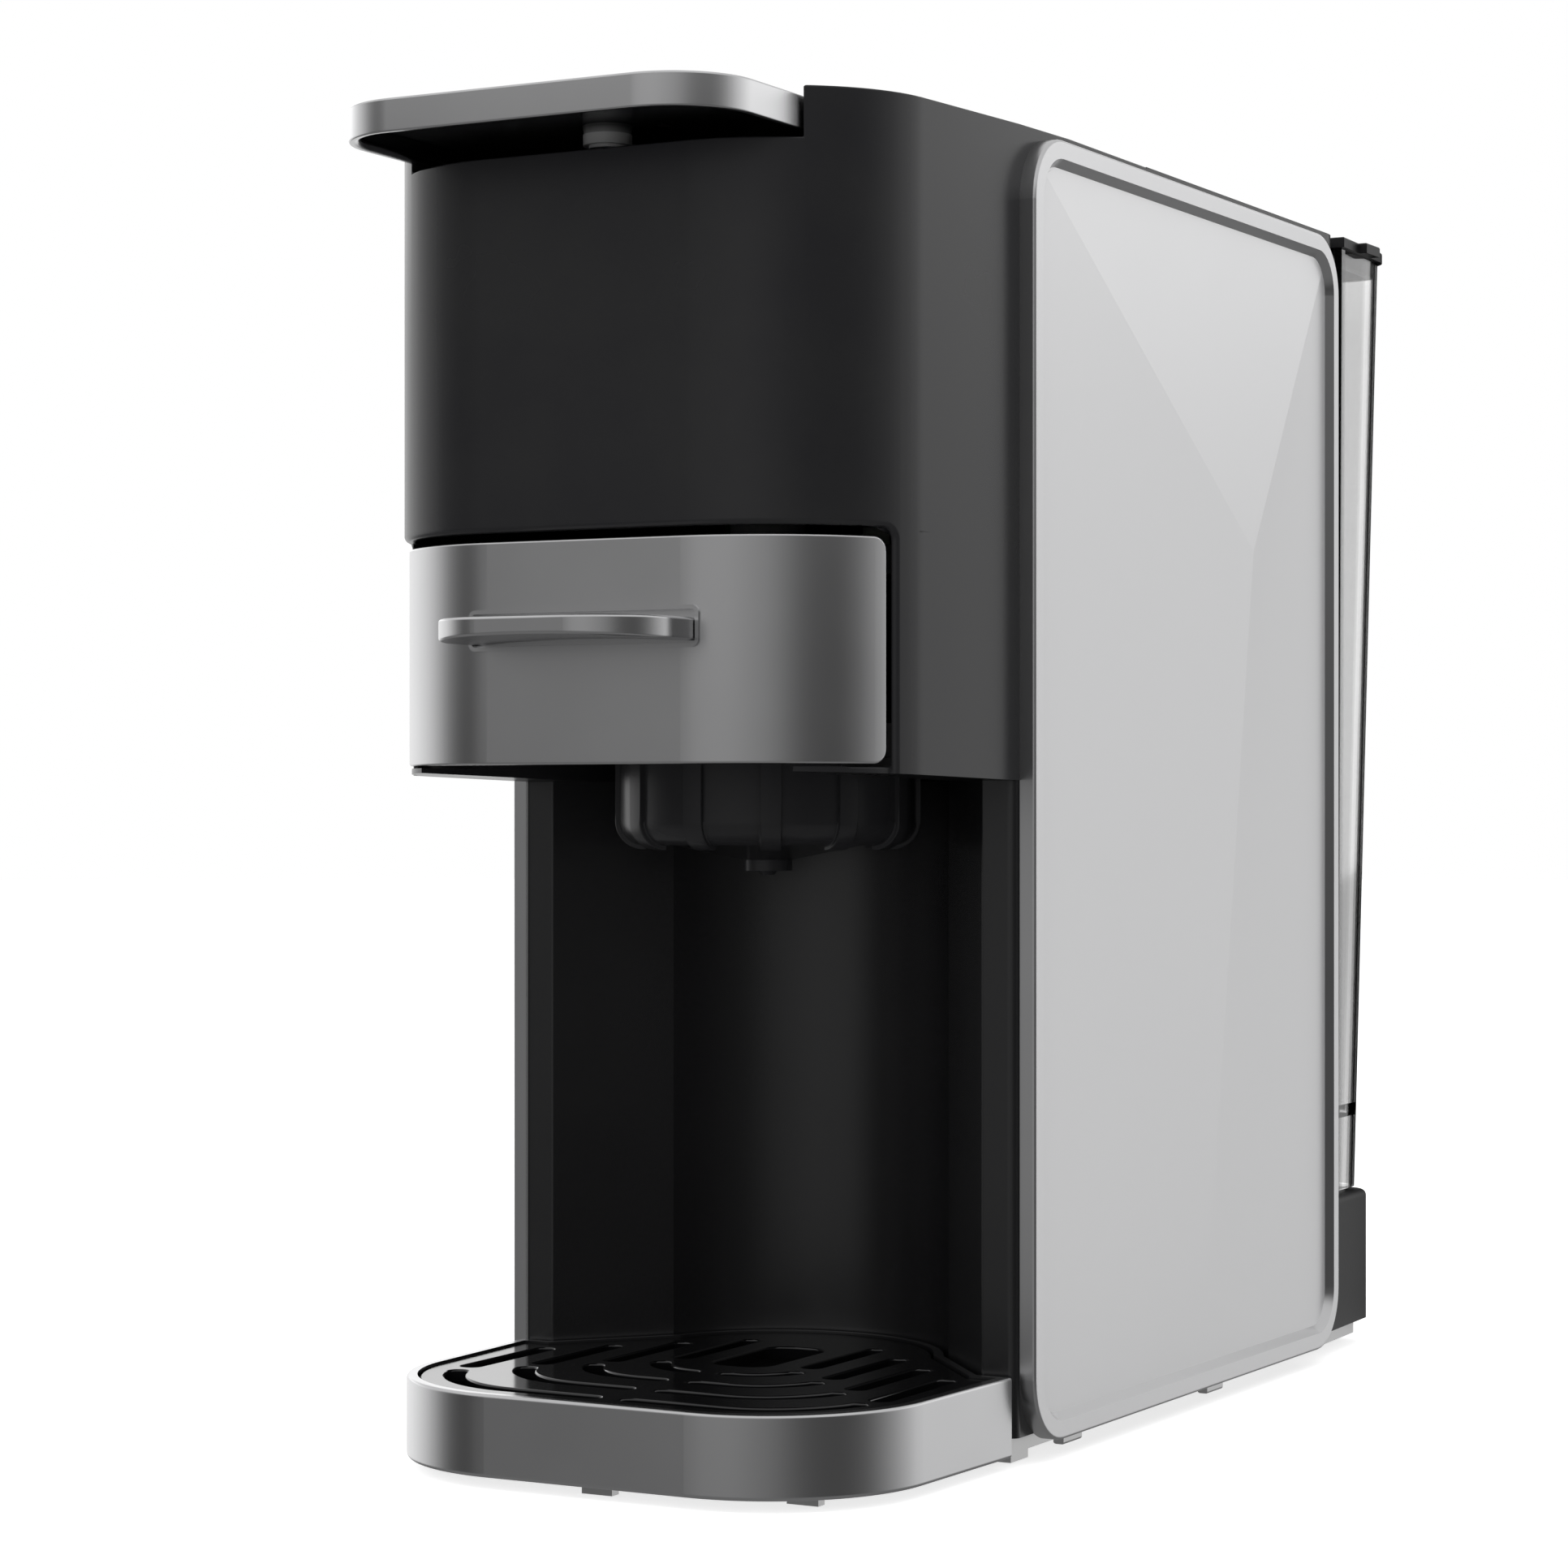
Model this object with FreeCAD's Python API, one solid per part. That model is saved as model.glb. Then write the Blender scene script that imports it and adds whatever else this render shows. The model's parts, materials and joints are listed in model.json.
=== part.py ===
"""Compact pod coffee machine with a lift lever, a capsule drawer, a drip tray and a rear water tank.

Millimetres. The pieces are drawn with Y = 0 at the front edge of the side panels, -Y to the front,
+Z up and the table at Z = 0. They are written out with the centre of the footprint at the origin.
"""

import FreeCAD
import Part
import math
import os

UP = FreeCAD.Vector(0, 0, 1)
ALONG_X = FreeCAD.Vector(1, 0, 0)
ALONG_Y = FreeCAD.Vector(0, 1, 0)
REACH = 400.0  # longer than any piece, for cutting tools that run right through

# Clearances
SLIDE_GAP = 0.5
SWING_GAP = 0.6
PIN_GAP = 0.05
SEAT_GAP = 0.2
GUIDE_GAP = 0.3

# Case
CASE_HALF_WIDTH = 60.0
CASE_BOTTOM = 6.0
CASE_TOP = 277.2
CASE_SPLIT = 66.0  # where the front mouldings end and the rear case begins
CASE_REAR = 190.5
CASE_REAR_CORNER = 12.0
WALL = 2.5

# Side panels with a raised rim round a folded face
PANEL_THICKNESS = 3.6
PANEL_DEPTH = CASE_REAR - 13.3
PANEL_BOTTOM = CASE_BOTTOM - 2.0
PANEL_HEIGHT = CASE_TOP - CASE_BOTTOM - 0.2
PANEL_CORNER = 14.0
PANEL_EDGE_ROUND = 0.7
PANEL_RIM = 4.0
PANEL_REAR_SHIFT = 0.3  # the rim is this much narrower along its rear
PANEL_BEVEL = 1.6
PANEL_RECESS = 1.8
FOLD_MARGIN = 0.5
FOLD_PEAK_Y = PANEL_DEPTH - 60.2
FOLD_PEAK_Z = CASE_TOP - 82.2
FOLD_FOOT_Y = PANEL_DEPTH - 82.2
FOLD_HEIGHT = 3.2

# Base pan, feet and screws
BASE_HALF_WIDTH = CASE_HALF_WIDTH - 3.0
BASE_REAR = CASE_REAR + 23.5
BASE_TAPER = 2.75
BASE_CORNER = 6.0
BASE_THICKNESS = 3.9
STEP_LENGTH = 8.4
STEP_WIDTH = 7.0
STEP_FROM_FRONT = 2.1
STEP_DROP = 1.8
FOOT_LENGTH = 9.5
FOOT_WIDTH = 2.4
FOOT_SIDE = BASE_HALF_WIDTH - 0.4
FOOT_ROWS = (34.0, 114.0)
FOOT_ROUND = 0.6
SCREW_ROWS = (16.0, 84.0, CASE_REAR - 26.5)
SCREW_SIDE = CASE_HALF_WIDTH - 8.0
SCREW_RADIUS = 1.5
SCREW_LENGTH = 12.0
SCREW_HEAD_RADIUS = 3.0
SCREW_HEAD = 1.8
BOSS_WIDTH = 8.0
BOSS_HEIGHT = 14.0

# Column with the cup bay
COLUMN_FRONT = -1.7
COLUMN_ROUND = 2.0
BAY_MOUTH = CASE_HALF_WIDTH - 7.8  # half the width of the bay at the column's front
BAY_MOUTH_ROUND = 0.6
BAY_CREASE_X = BAY_MOUTH - 18.2  # where the flared cheeks meet the round back
BAY_CREASE_Y = COLUMN_FRONT + 21.45
BAY_BACK = COLUMN_FRONT + 44.2

# Head
HEAD_FRONT = -74.4
HEAD_TAPER = 2.47
HEAD_CORNER = 35.0
HEAD_BOTTOM = 141.4
HEAD_BOTTOM_RISE = 1.6  # the underside rises this much towards the front
HEAD_TOP_DROP = 2.4  # the top falls this much towards the front
NOSE_START = 25.0  # where the top begins to fall
HEAD_FLOOR = HEAD_BOTTOM + 4.1
HEAD_SILL = 190.4  # lower edge of the front wall, over the drawer
FRAME_CORNER = 2.5  # round upper corners of the drawer's opening
FRAME_ROUND = 1.2
FRAME_LIP = 1.4  # outer wall left round the drawer's end
FRAME_REBATE = 3.0
LIP_TOP = HEAD_BOTTOM + 2.4
LIP_INSET = 1.5
NOTCH_BOTTOM = CASE_TOP - 12.2
DECK_TOP = CASE_TOP - 14.7
DECK_REAR = 46.0

# Lever
LEVER_FRONT = HEAD_FRONT - 27.3
LEVER_REAR = 62.0
LEVER_HALF_WIDTH = CASE_HALF_WIDTH - 14.4
LEVER_TAPER = 0.8
LEVER_CORNER = 17.0
LEVER_BOTTOM = CASE_TOP - 10.6
LEVER_TOP = CASE_TOP - 4.0
LEVER_WALL = 2.4
LEVER_SKIN = 1.2  # thickness of its top
LEVER_ROUND = 0.5
LINER_THICKNESS = 1.0
LINER_REAR = 42.0
STUD_Y = HEAD_FRONT + 10.0
STUD_RADIUS = 4.7
STUD_FLARE_RADIUS = 5.0
STUD_NECK = 1.7
STUD_COLLAR_RADIUS = 4.9
STUD_COLLAR = 2.2
STUD_FOOT_RADIUS = 3.7
STUD_FOOT = 0.6
AXLE_Y = 54.0
AXLE_Z = CASE_TOP - 10.7
AXLE_RADIUS = 2.5
LUG_RADIUS = 5.0
LUG_WIDTH = 5.0
CAM_RADIUS = 9.0

# Capsule drawer
DRAWER_FRONT = HEAD_FRONT + 0.4
DRAWER_HALF_WIDTH = CASE_HALF_WIDTH - 1.0
DRAWER_BOTTOM = LIP_TOP + SLIDE_GAP
DRAWER_TOP = HEAD_SILL - 1.7
DRAWER_END = -50.4
CHEEK_FRONT = DRAWER_END + 1.0  # the head's side walls start here beside the drawer
DRAWER_WALL = 3.0
DRAWER_ROUND = 0.5
DRAWER_END_CORNER = 3.0
HANDLE_FRONT = DRAWER_FRONT - 23.3
HANDLE_HALF_WIDTH = 25.5
HANDLE_CORNER = 15.5
HANDLE_TOP = DRAWER_TOP - 16.1
HANDLE_END = 4.5  # thickness at its sides
HANDLE_MIDDLE = 3.6
HANDLE_ROUND = 0.6
POCKET_HALF_WIDTH = HANDLE_HALF_WIDTH + SEAT_GAP
POCKET_BOTTOM = HANDLE_TOP - 4.9
POCKET_TOP = HANDLE_TOP + 1.7
POCKET_DEPTH = 1.5
POCKET_CORNER = 0.8
POCKET_BEAD = 0.8
POCKET_BEAD_RISE = 0.35
CARRIAGE_BOTTOM = HEAD_FLOOR + 2.4
CARRIAGE_TOP = CARRIAGE_BOTTOM + 2.2
CARRIAGE_REAR = 58.0
FLANGE_HALF_WIDTH = 20.0
FLANGE_TOP = DRAWER_TOP - 2.7
RAIL_WALL = 2.0
RAIL_FRONT = CHEEK_FRONT + 1.4

# Capsule holder, spout and injector, all on the brewing axis
BREW_Y = 1.5
HOLDER_RADIUS = 31.6
FLOOR_SLOT_HALF_WIDTH = HOLDER_RADIUS + 11.4
FLOOR_SLOT_REAR = BREW_Y + HOLDER_RADIUS + 6.9
CARRIAGE_HALF_WIDTH = FLOOR_SLOT_HALF_WIDTH + 3.8
HOLDER_WALL = 2.05
ADAPTER_WALL = 2.0
HOLDER_BORE = HOLDER_RADIUS - HOLDER_WALL - PIN_GAP - ADAPTER_WALL
HOLDER_BOTTOM = HEAD_BOTTOM - 13.6
HOLDER_FLOOR = HOLDER_BOTTOM + 4.2
HOLDER_TOP = HEAD_SILL - 6.4
HOLDER_ROUND = 5.0
HOLDER_FLANGE_RADIUS = HOLDER_RADIUS + 7.4
HOLDER_FLANGE = 3.0
RIB_COUNT = 12
RIB_WIDTH = 4.3
RIB_RISE = 1.0
RIB_START = HOLDER_RADIUS - 5.6  # the ribs begin here under the holder
CONE_RADIUS = 20.5
SPOUT_RADIUS = 5.2
SPOUT_SEAT = HOLDER_BOTTOM - 3.2
SPOUT_FLANGE = 2.3
SPOUT_TIP_RADIUS = 2.2
SPOUT_TIP = 0.9
SPOUT_STEM_RADIUS = 3.6
SPOUT_BORE = 1.2
INJECTOR_RADIUS = HOLDER_RADIUS + 1.4
INJECTOR_THICKNESS = 6.0
ROD_RADIUS = 8.0
ROD_TOP = DECK_TOP + 1.5
SPRAY_RADIUS = HOLDER_BORE - 2.5
SPRAY_THICKNESS = 1.5
SPRAY_HOLES = 8
SPRAY_HOLE_RADIUS = 1.0
SPRAY_HOLE_CIRCLE = SPRAY_RADIUS / 2
FRAME_FRONT = -20.0
FRAME_REAR = 44.0
FRAME_BOTTOM = HEAD_SILL + 23.6
FRAME_THICKNESS = 5.0
GUIDE_WALL = 4.7
GUIDE_BOTTOM = FRAME_BOTTOM - 9.0
GUIDE_TOP = FRAME_BOTTOM + 18.0

# Drip tray and grille
TRAY_FRONT = HEAD_FRONT + 0.4
TRAY_REAR = COLUMN_FRONT - 1.3
TRAY_HALF_WIDTH = CASE_HALF_WIDTH - 0.4
TRAY_TAPER = 2.47
TRAY_CORNER = 35.0
TRAY_BOTTOM = 2.2
TRAY_TOP = 18.9
TRAY_WALL = 2.2
TRAY_LEDGE = 2.0
TRAY_ROUND = 0.7
TRAY_FOOT_ROUND = 0.8
TONGUE_GAP = 1.0
TONGUE_OVERLAP = 2.0
TRAY_FOOT_WIDTH = 7.0
TRAY_FOOT_LENGTH = 2.6
TRAY_FOOT_SIDE = 41.0
TRAY_FOOT_ROW = TRAY_FRONT + 16.4
TRAY_FOOT_FRONT = TRAY_FRONT + 6.8
GRILLE_TOP = TRAY_TOP - 0.5
GRILLE_THICKNESS = 2.5
GRILLE_ROUND = 0.5
SLOT_WIDTH = 4.6
SLOT_LENGTH = 33.0
SLOT_PITCH = 11.0
SLOT_FIRST_X = 15.4
SLOT_FIRST_Y = 7.0
SLOT_STEP_Y = 10.8
SLOTS_PER_SIDE = 4
CURVED_WIDTH = 4.2
CURVED_START_X = 4.4
CURVED_FRONT_Y = TRAY_FRONT + 10.5
CURVED_STEP_Y = 13.2
CURVED_BEND_X = 23.5
CURVED_BEND_STEP = 6.3
CURVED_RADIUS = 25.0
CURVED_RADIUS_STEP = 4.3
CURVED_ANGLE = 70.0
DRAIN_HALF_WIDTH = 7.0
DRAIN_FRONT = -13.5
DRAIN_REAR = 17.5
DRAIN_CORNER = 5.0

# Tank seat, tank and lid
SEAT_FRONT = CASE_REAR - 12.0
SEAT_REAR = CASE_REAR + 24.5
SEAT_TAPER = 2.75
SEAT_CORNER = 6.0
SEAT_TOP = 38.6
SEAT_ROUND = 1.6
TANK_FRONT = CASE_REAR + 2.1
TANK_BOTTOM = SEAT_TOP + 1.0
TANK_TOP = CASE_TOP - 1.6
TANK_REAR_BOTTOM = TANK_FRONT + 20.4
TANK_REAR_TOP = TANK_FRONT + 36.4
TANK_HALF_WIDTH_BOTTOM = CASE_HALF_WIDTH - 2.7
TANK_HALF_WIDTH_TOP = CASE_HALF_WIDTH - 1.5
TANK_TAPER = 2.75
TANK_CORNER = 8.0
TANK_WALL = 2.2
TANK_FLOOR = TANK_BOTTOM + 18.0
TANK_FLOOR_THICKNESS = 3.2
LID_FRONT = TANK_FRONT - 0.6
LID_REAR = TANK_REAR_TOP + 2.0
LID_HALF_WIDTH = CASE_HALF_WIDTH - 0.6
LID_CORNER = 9.0
LID_THICKNESS = 2.6
LID_ROUND = 0.5
LID_PLUG = 4.0
LID_PLUG_WALL = 2.0
TAB_FROM = LID_FRONT + 12.5
TAB_LENGTH = 9.5
TAB_OUT = CASE_HALF_WIDTH + 0.8
VALVE_Y = (TANK_FRONT + TANK_REAR_BOTTOM) / 2
VALVE_COLLAR_RADIUS = VALVE_Y - TANK_FRONT - TANK_WALL - SEAT_GAP
VALVE_COLLAR = 3.0
VALVE_STEM_RADIUS = 6.5
VALVE_STEM = 5.0
SPIGOT_RADIUS = 4.8
SPIGOT_BOTTOM = SEAT_TOP - 4.6
SEAL_RADIUS = VALVE_COLLAR_RADIUS - GUIDE_GAP
SEAL_THICKNESS = 2.0
SOCKET_WALL = 2.0
SOCKET_BOTTOM = SEAT_TOP - 11.6
GLAND_X = -38.0
GLAND_Z = 20.0
GLAND_RADIUS = 5.0
GLAND_DEPTH = 5.0
GLAND_FLANGE_RADIUS = 8.0
GLAND_FLANGE = 2.2
GLAND_TAIL = 8.0
GLAND_TAIL_RADIUS = 4.2
GLAND_BORE = 3.2

# Top cover and buttons
BUTTON_Y = 96.0
BUTTON_PLACES = {"button_power": 0.0, "button_short": -26.0, "button_long": 26.0}
BUTTON_RADIUS = 9.0
BUTTON_RISE = 1.2
BUTTON_COLLAR = 1.2
BUTTON_COLLAR_DEPTH = 1.9
BUTTON_STEM_RADIUS = 3.0
BUTTON_STEM = 1.5
BUTTON_ROUND = 0.8
BUTTON_TRAVEL = 1.5
SWITCH_GAP = 0.3
SWITCH_SIZE = 6.0
SWITCH_HEIGHT = 4.0
COVER_APRON = 24.0
BOARD_THICKNESS = 1.6
BUTTON_BOARD_HALF_WIDTH = 44.0
BUTTON_BOARD_LENGTH = 30.0
POST_RADIUS = 3.0

# Inner works
SHELF_BOTTOM = 112.0
SHELF_THICKNESS = 3.0
SHELF_REAR = CASE_REAR - 14.5
PUMP_X = -25.0
PUMP_Y = 110.0
PUMP_MOUNT_RADIUS = 18.0
PUMP_MOUNT = 8.0
PUMP_RADIUS = 17.0
PUMP_LENGTH = 26.0
COIL_WIDTH = 44.0
COIL_DEPTH = 40.0
COIL_HEIGHT = 42.0
PUMP_OUTLET_RADIUS = 6.0
PUMP_OUTLET = 12.0
METER_Y = CASE_REAR - 40.5
METER_RADIUS = 16.0
METER_HEIGHT = 24.0
HOSE_RADIUS = 3.0
HOSE_BORE = 1.8
HOSE_BEND = 7.0
HOSE_LEVEL = 19.0
HEATER_LEFT = -32.0
HEATER_WIDTH = 62.0
HEATER_DEPTH = 40.0
HEATER_HEIGHT = 70.0
HEATER_FIN = 3.0
HEATER_FIN_COUNT = 6
BREW_HOSE_LEVEL = SHELF_BOTTOM + 58.0
BREW_HOSE_RISER_Y = 52.0
BREW_HOSE_TOP = FRAME_BOTTOM + 11.0
BOARD_X = 5.0 - CASE_HALF_WIDTH
BOARD_FRONT = 80.0
BOARD_LENGTH = 84.0
BOARD_HEIGHT = 90.0
BOARD_BLOCKS = {  # name: front, bottom, length, height and rise of each part above the board's lower corner
    "transformer": (8.0, 10.0, 24.0, 28.0, 20.0),
    "relay": (40.0, 10.0, 16.0, 20.0, 13.0),
    "terminals": (62.0, 10.0, 12.0, 34.0, 9.0),
    "processor": (34.0, 52.0, 14.0, 14.0, 2.0),
}
CAPACITOR_RADIUS = 6.0
CAPACITOR_RISE = 16.0
CAPACITOR_Y = 18.0
CAPACITOR_HEIGHTS = (54.0, 70.0)

ORIGIN_Y = (LEVER_FRONT + LID_REAR) / 2


def vec(x, y, z=0.0):
    return FreeCAD.Vector(x, y, z)


def block(x, y, z):
    """Box between two values on each axis."""
    return Part.makeBox(x[1] - x[0], y[1] - y[0], z[1] - z[0], vec(x[0], y[0], z[0]))


def rod(radius, start, length, axis=UP):
    return Part.makeCylinder(radius, length, start, axis)


def ring(outer, inner, start, length, axis=UP):
    return rod(outer, start, length, axis).cut(rod(inner, start, length, axis))


def raised(face, bottom, top):
    """Upright solid over a plan face."""
    base = face.copy()
    base.translate(UP * bottom)
    return base.extrude(UP * (top - bottom))


def line(start, end):
    return Part.LineSegment(start, end).toShape()


def arc(start, middle, end):
    return Part.Arc(start, middle, end).toShape()


def mirrored(shape):
    """Copy on the other side of the machine's middle plane."""
    return shape.mirror(vec(0, 0), ALONG_X)


def both_sides(shape):
    return shape.fuse(mirrored(shape))


def rounded(shape, radius, wanted):
    """Shape with the edges that the wanted test picks rounded off."""
    return shape.makeFillet(radius, [edge for edge in shape.Edges if wanted(edge)])


def level_edge(height):
    """Test for edges that lie flat at one height."""

    def test(edge):
        box = edge.BoundBox
        return abs(box.ZMin - height) < SEAT_GAP and abs(box.ZMax - height) < SEAT_GAP

    return test


def upright_edge(x, y):
    """Test for upright edges at one place in plan and its mirror place."""

    def test(edge):
        box = edge.BoundBox
        off = math.hypot(abs(box.Center.x) - x, box.Center.y - y)
        return off < SEAT_GAP and box.ZLength > SEAT_GAP

    return test


def tongue_wire(front, rear, half_width, taper, corner, inset=0.0, back_inset=0.0, tail=None):
    """Plan outline with a straight rear, tapering sides and two round corners at its front.

    half_width is measured at the rear. The sides run straight on to the tail where one is given.
    """
    heading = math.copysign(1.0, front - rear)
    lean = math.radians(taper)
    length = abs(front - rear)
    centre_v = length - corner
    centre_u = half_width - math.tan(lean) * centre_v - corner / math.cos(lean)
    radius = corner - inset

    def place(u, v):
        return vec(u, rear + heading * v)

    def on_corner(angle):
        return place(centre_u + radius * math.cos(angle), centre_v + radius * math.sin(angle))

    def flipped(point):
        return vec(-point.x, point.y)

    side = [place(half_width - inset / math.cos(lean) - math.tan(lean) * back_inset, back_inset)]
    if tail is not None:
        side = [vec(half_width - inset, tail), place(half_width - inset, -inset * math.tan(lean / 2))]
    bend = [on_corner(lean), on_corner((lean + math.pi / 2) / 2), on_corner(math.pi / 2)]
    corners = side + [bend[0]]
    edges = [line(flipped(side[0]), side[0])]
    edges += [line(a, b) for a, b in zip(corners, corners[1:])]
    edges.append(arc(*bend))
    edges.append(line(bend[2], flipped(bend[2])))
    edges.append(arc(*[flipped(point) for point in reversed(bend)]))
    edges += [line(flipped(b), flipped(a)) for a, b in reversed(list(zip(corners, corners[1:])))]
    return Part.Wire(edges)


def tongue(*sizes, **options):
    return Part.Face(tongue_wire(*sizes, **options))


def bay(inset, front):
    """Plan of the cup bay up to a front line: a round back that meets two flared straight cheeks."""
    mouth = vec(BAY_MOUTH, COLUMN_FRONT)
    crease = vec(BAY_CREASE_X, BAY_CREASE_Y)
    centre_y = (BAY_BACK ** 2 - crease.x ** 2 - crease.y ** 2) / (2 * (BAY_BACK - crease.y))
    centre = vec(0, centre_y)
    radius = BAY_BACK - centre_y - inset
    along = (crease - mouth).normalize()
    start = mouth + vec(-along.y, along.x) * inset
    before_middle = along.dot(centre - start)
    off_line = (start + along * before_middle).distanceToPoint(centre)
    meet = start + along * (before_middle - math.sqrt(radius ** 2 - off_line ** 2))
    mouth = start + along * ((front - start.y) / along.y)
    back = vec(0, centre_y + radius)
    far_meet = vec(-meet.x, meet.y)
    far_mouth = vec(-mouth.x, mouth.y)
    edges = [line(far_mouth, mouth), line(mouth, meet), arc(meet, back, far_meet), line(far_meet, far_mouth)]
    return Part.Face(Part.Wire(edges))


def rounded_rectangle(low, high, corner, place):
    """Closed wire of a rectangle with round corners; place turns its two coordinates into a point."""
    centres = [(high[0] - corner, high[1] - corner), (low[0] + corner, high[1] - corner)]
    centres += [(low[0] + corner, low[1] + corner), (high[0] - corner, low[1] + corner)]
    edges = []
    start = None
    for quarter, centre in enumerate(centres):
        angles = [math.pi / 2 * quarter + math.pi / 4 * step for step in range(3)]
        bend = [place(centre[0] + corner * math.cos(a), centre[1] + corner * math.sin(a)) for a in angles]
        if start is not None:
            edges.append(line(edges[-1].Vertexes[-1].Point, bend[0]))
        else:
            start = bend[0]
        edges.append(arc(*bend))
    edges.append(line(edges[-1].Vertexes[-1].Point, start))
    return Part.Wire(edges)


def swept_tube(points, bend, radius, bore):
    """Hose along straight runs joined by arcs of one bend radius."""
    edges = []
    start = points[0]
    for before, corner, after in zip(points, points[1:], points[2:]):
        back = (before - corner).normalize()
        on = (after - corner).normalize()
        half_turn = back.getAngle(on) / 2
        reach = bend / math.tan(half_turn)
        middle = (back + on).normalize() * (bend / math.sin(half_turn) - bend)
        edges.append(line(start, corner + back * reach))
        start = corner + on * reach
        edges.append(arc(corner + back * reach, corner + middle, start))
    edges.append(line(start, points[-1]))
    path = Part.Wire(edges)
    heading = points[1] - points[0]
    section = [Part.Wire(Part.makeCircle(size, points[0], heading)) for size in (radius, bore)]
    outer, inner = [path.makePipeShell([circle], True, False) for circle in section]
    return outer.cut(inner)


# Case


def panel_rear(inset):
    """Rear edge of the panel's outline drawn in by an inset."""
    return PANEL_DEPTH - max(0.0, inset - PANEL_REAR_SHIFT)


def panel_wire(inset, x):
    low = (inset, PANEL_BOTTOM + inset)
    high = (panel_rear(inset), PANEL_BOTTOM + PANEL_HEIGHT - inset)
    return rounded_rectangle(low, high, PANEL_CORNER - inset, lambda y, z: vec(x, y, z))


def panel_fold():
    """Low folded hill on the panel's sunk face: one peak, and a ridge that runs out at the bottom."""
    inset = PANEL_RIM + PANEL_BEVEL + FOLD_MARGIN
    x = CASE_HALF_WIDTH + PANEL_THICKNESS - PANEL_RECESS
    bottom = PANEL_BOTTOM + inset
    top = PANEL_BOTTOM + PANEL_HEIGHT - inset
    rear = panel_rear(inset)
    top_front = vec(x, inset, top)
    top_rear = vec(x, rear, top)
    low_front = vec(x, inset, bottom)
    low_rear = vec(x, rear, bottom)
    peak = vec(x + FOLD_HEIGHT, FOLD_PEAK_Y, FOLD_PEAK_Z)
    foot = vec(x, FOLD_FOOT_Y, bottom)
    ridge = line(peak, foot)
    faces = [Part.makeRuledSurface(line(top_front, low_front), ridge)]
    faces.append(Part.makeRuledSurface(line(top_rear, low_rear), ridge))
    faces.append(Part.Face(Part.makePolygon([top_front, top_rear, peak, top_front])))
    faces.append(Part.Face(Part.makePolygon([top_front, low_front, foot, low_rear, top_rear, top_front])))
    shell = Part.makeShell(faces)
    shell.sewShape()
    hill = Part.makeSolid(shell)
    hill = hill if hill.Volume > 0 else hill.reversed()
    return hill.common(Part.Face(panel_wire(inset, x)).extrude(ALONG_X * PANEL_THICKNESS))


def side_panel_right():
    outside = CASE_HALF_WIDTH + PANEL_THICKNESS
    floor = outside - PANEL_RECESS
    plate = Part.Face(panel_wire(0.0, CASE_HALF_WIDTH)).extrude(ALONG_X * PANEL_THICKNESS)
    plate = rounded(plate, PANEL_EDGE_ROUND, lambda edge: edge.BoundBox.XMin > outside - SEAT_GAP)
    bevel = [panel_wire(PANEL_RIM, outside), panel_wire(PANEL_RIM + PANEL_BEVEL, floor)]
    sink = Part.makeLoft(bevel, True, True)
    return plate.cut(sink).fuse(panel_fold()).removeSplitter()


def side_panel_left():
    return mirrored(side_panel_right())


def base_pan():
    bottom = CASE_BOTTOM - BASE_THICKNESS
    plan = tongue(BASE_REAR, PANEL_DEPTH, BASE_HALF_WIDTH, BASE_TAPER, BASE_CORNER, tail=0.0)
    pan = raised(plan, bottom, CASE_BOTTOM)
    x = (BASE_HALF_WIDTH - STEP_WIDTH, BASE_HALF_WIDTH)
    y = (STEP_FROM_FRONT, STEP_FROM_FRONT + STEP_LENGTH)
    pan = pan.fuse(both_sides(block(x, y, (bottom - STEP_DROP, bottom))))
    for place in screw_places():
        pan = pan.cut(rod(SCREW_RADIUS + SEAT_GAP, place, REACH))
        pan = pan.cut(rod(SCREW_HEAD_RADIUS + SEAT_GAP, place, SCREW_HEAD))
    return pan.removeSplitter()


def base_feet():
    bottom = CASE_BOTTOM - BASE_THICKNESS
    feet = []
    for row in FOOT_ROWS:
        y = (row - FOOT_LENGTH / 2, row + FOOT_LENGTH / 2)
        foot = block((FOOT_SIDE - FOOT_WIDTH, FOOT_SIDE), y, (0.0, bottom))
        foot = rounded(foot, FOOT_ROUND, level_edge(0.0))
        feet += [foot, mirrored(foot)]
    return Part.makeCompound(feet)


def screw_places():
    """Points on the base pan's underside where the case is screwed down."""
    bottom = CASE_BOTTOM - BASE_THICKNESS
    return [vec(side * SCREW_SIDE, row, bottom) for row in SCREW_ROWS for side in (-1, 1)]


def base_screws():
    screws = []
    for place in screw_places():
        head = rod(SCREW_HEAD_RADIUS, place, SCREW_HEAD)
        shank = rod(SCREW_RADIUS, place + UP * SCREW_HEAD, SCREW_LENGTH)
        screws.append(head.fuse(shank).removeSplitter())
    return Part.makeCompound(screws)


def screw_bosses(front, rear):
    """Bosses on the inside of the case walls for the base screws between two stations."""
    bosses = []
    for place in screw_places():
        if front < place.y < rear:
            side = math.copysign(1.0, place.x)
            x = sorted((place.x - side * BOSS_WIDTH / 2, side * (CASE_HALF_WIDTH - WALL)))
            y = (place.y - BOSS_WIDTH / 2, place.y + BOSS_WIDTH / 2)
            boss = block(x, y, (CASE_BOTTOM, CASE_BOTTOM + BOSS_HEIGHT))
            bosses.append(boss.cut(rod(SCREW_RADIUS + PIN_GAP, place, REACH)))
    return bosses


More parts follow.
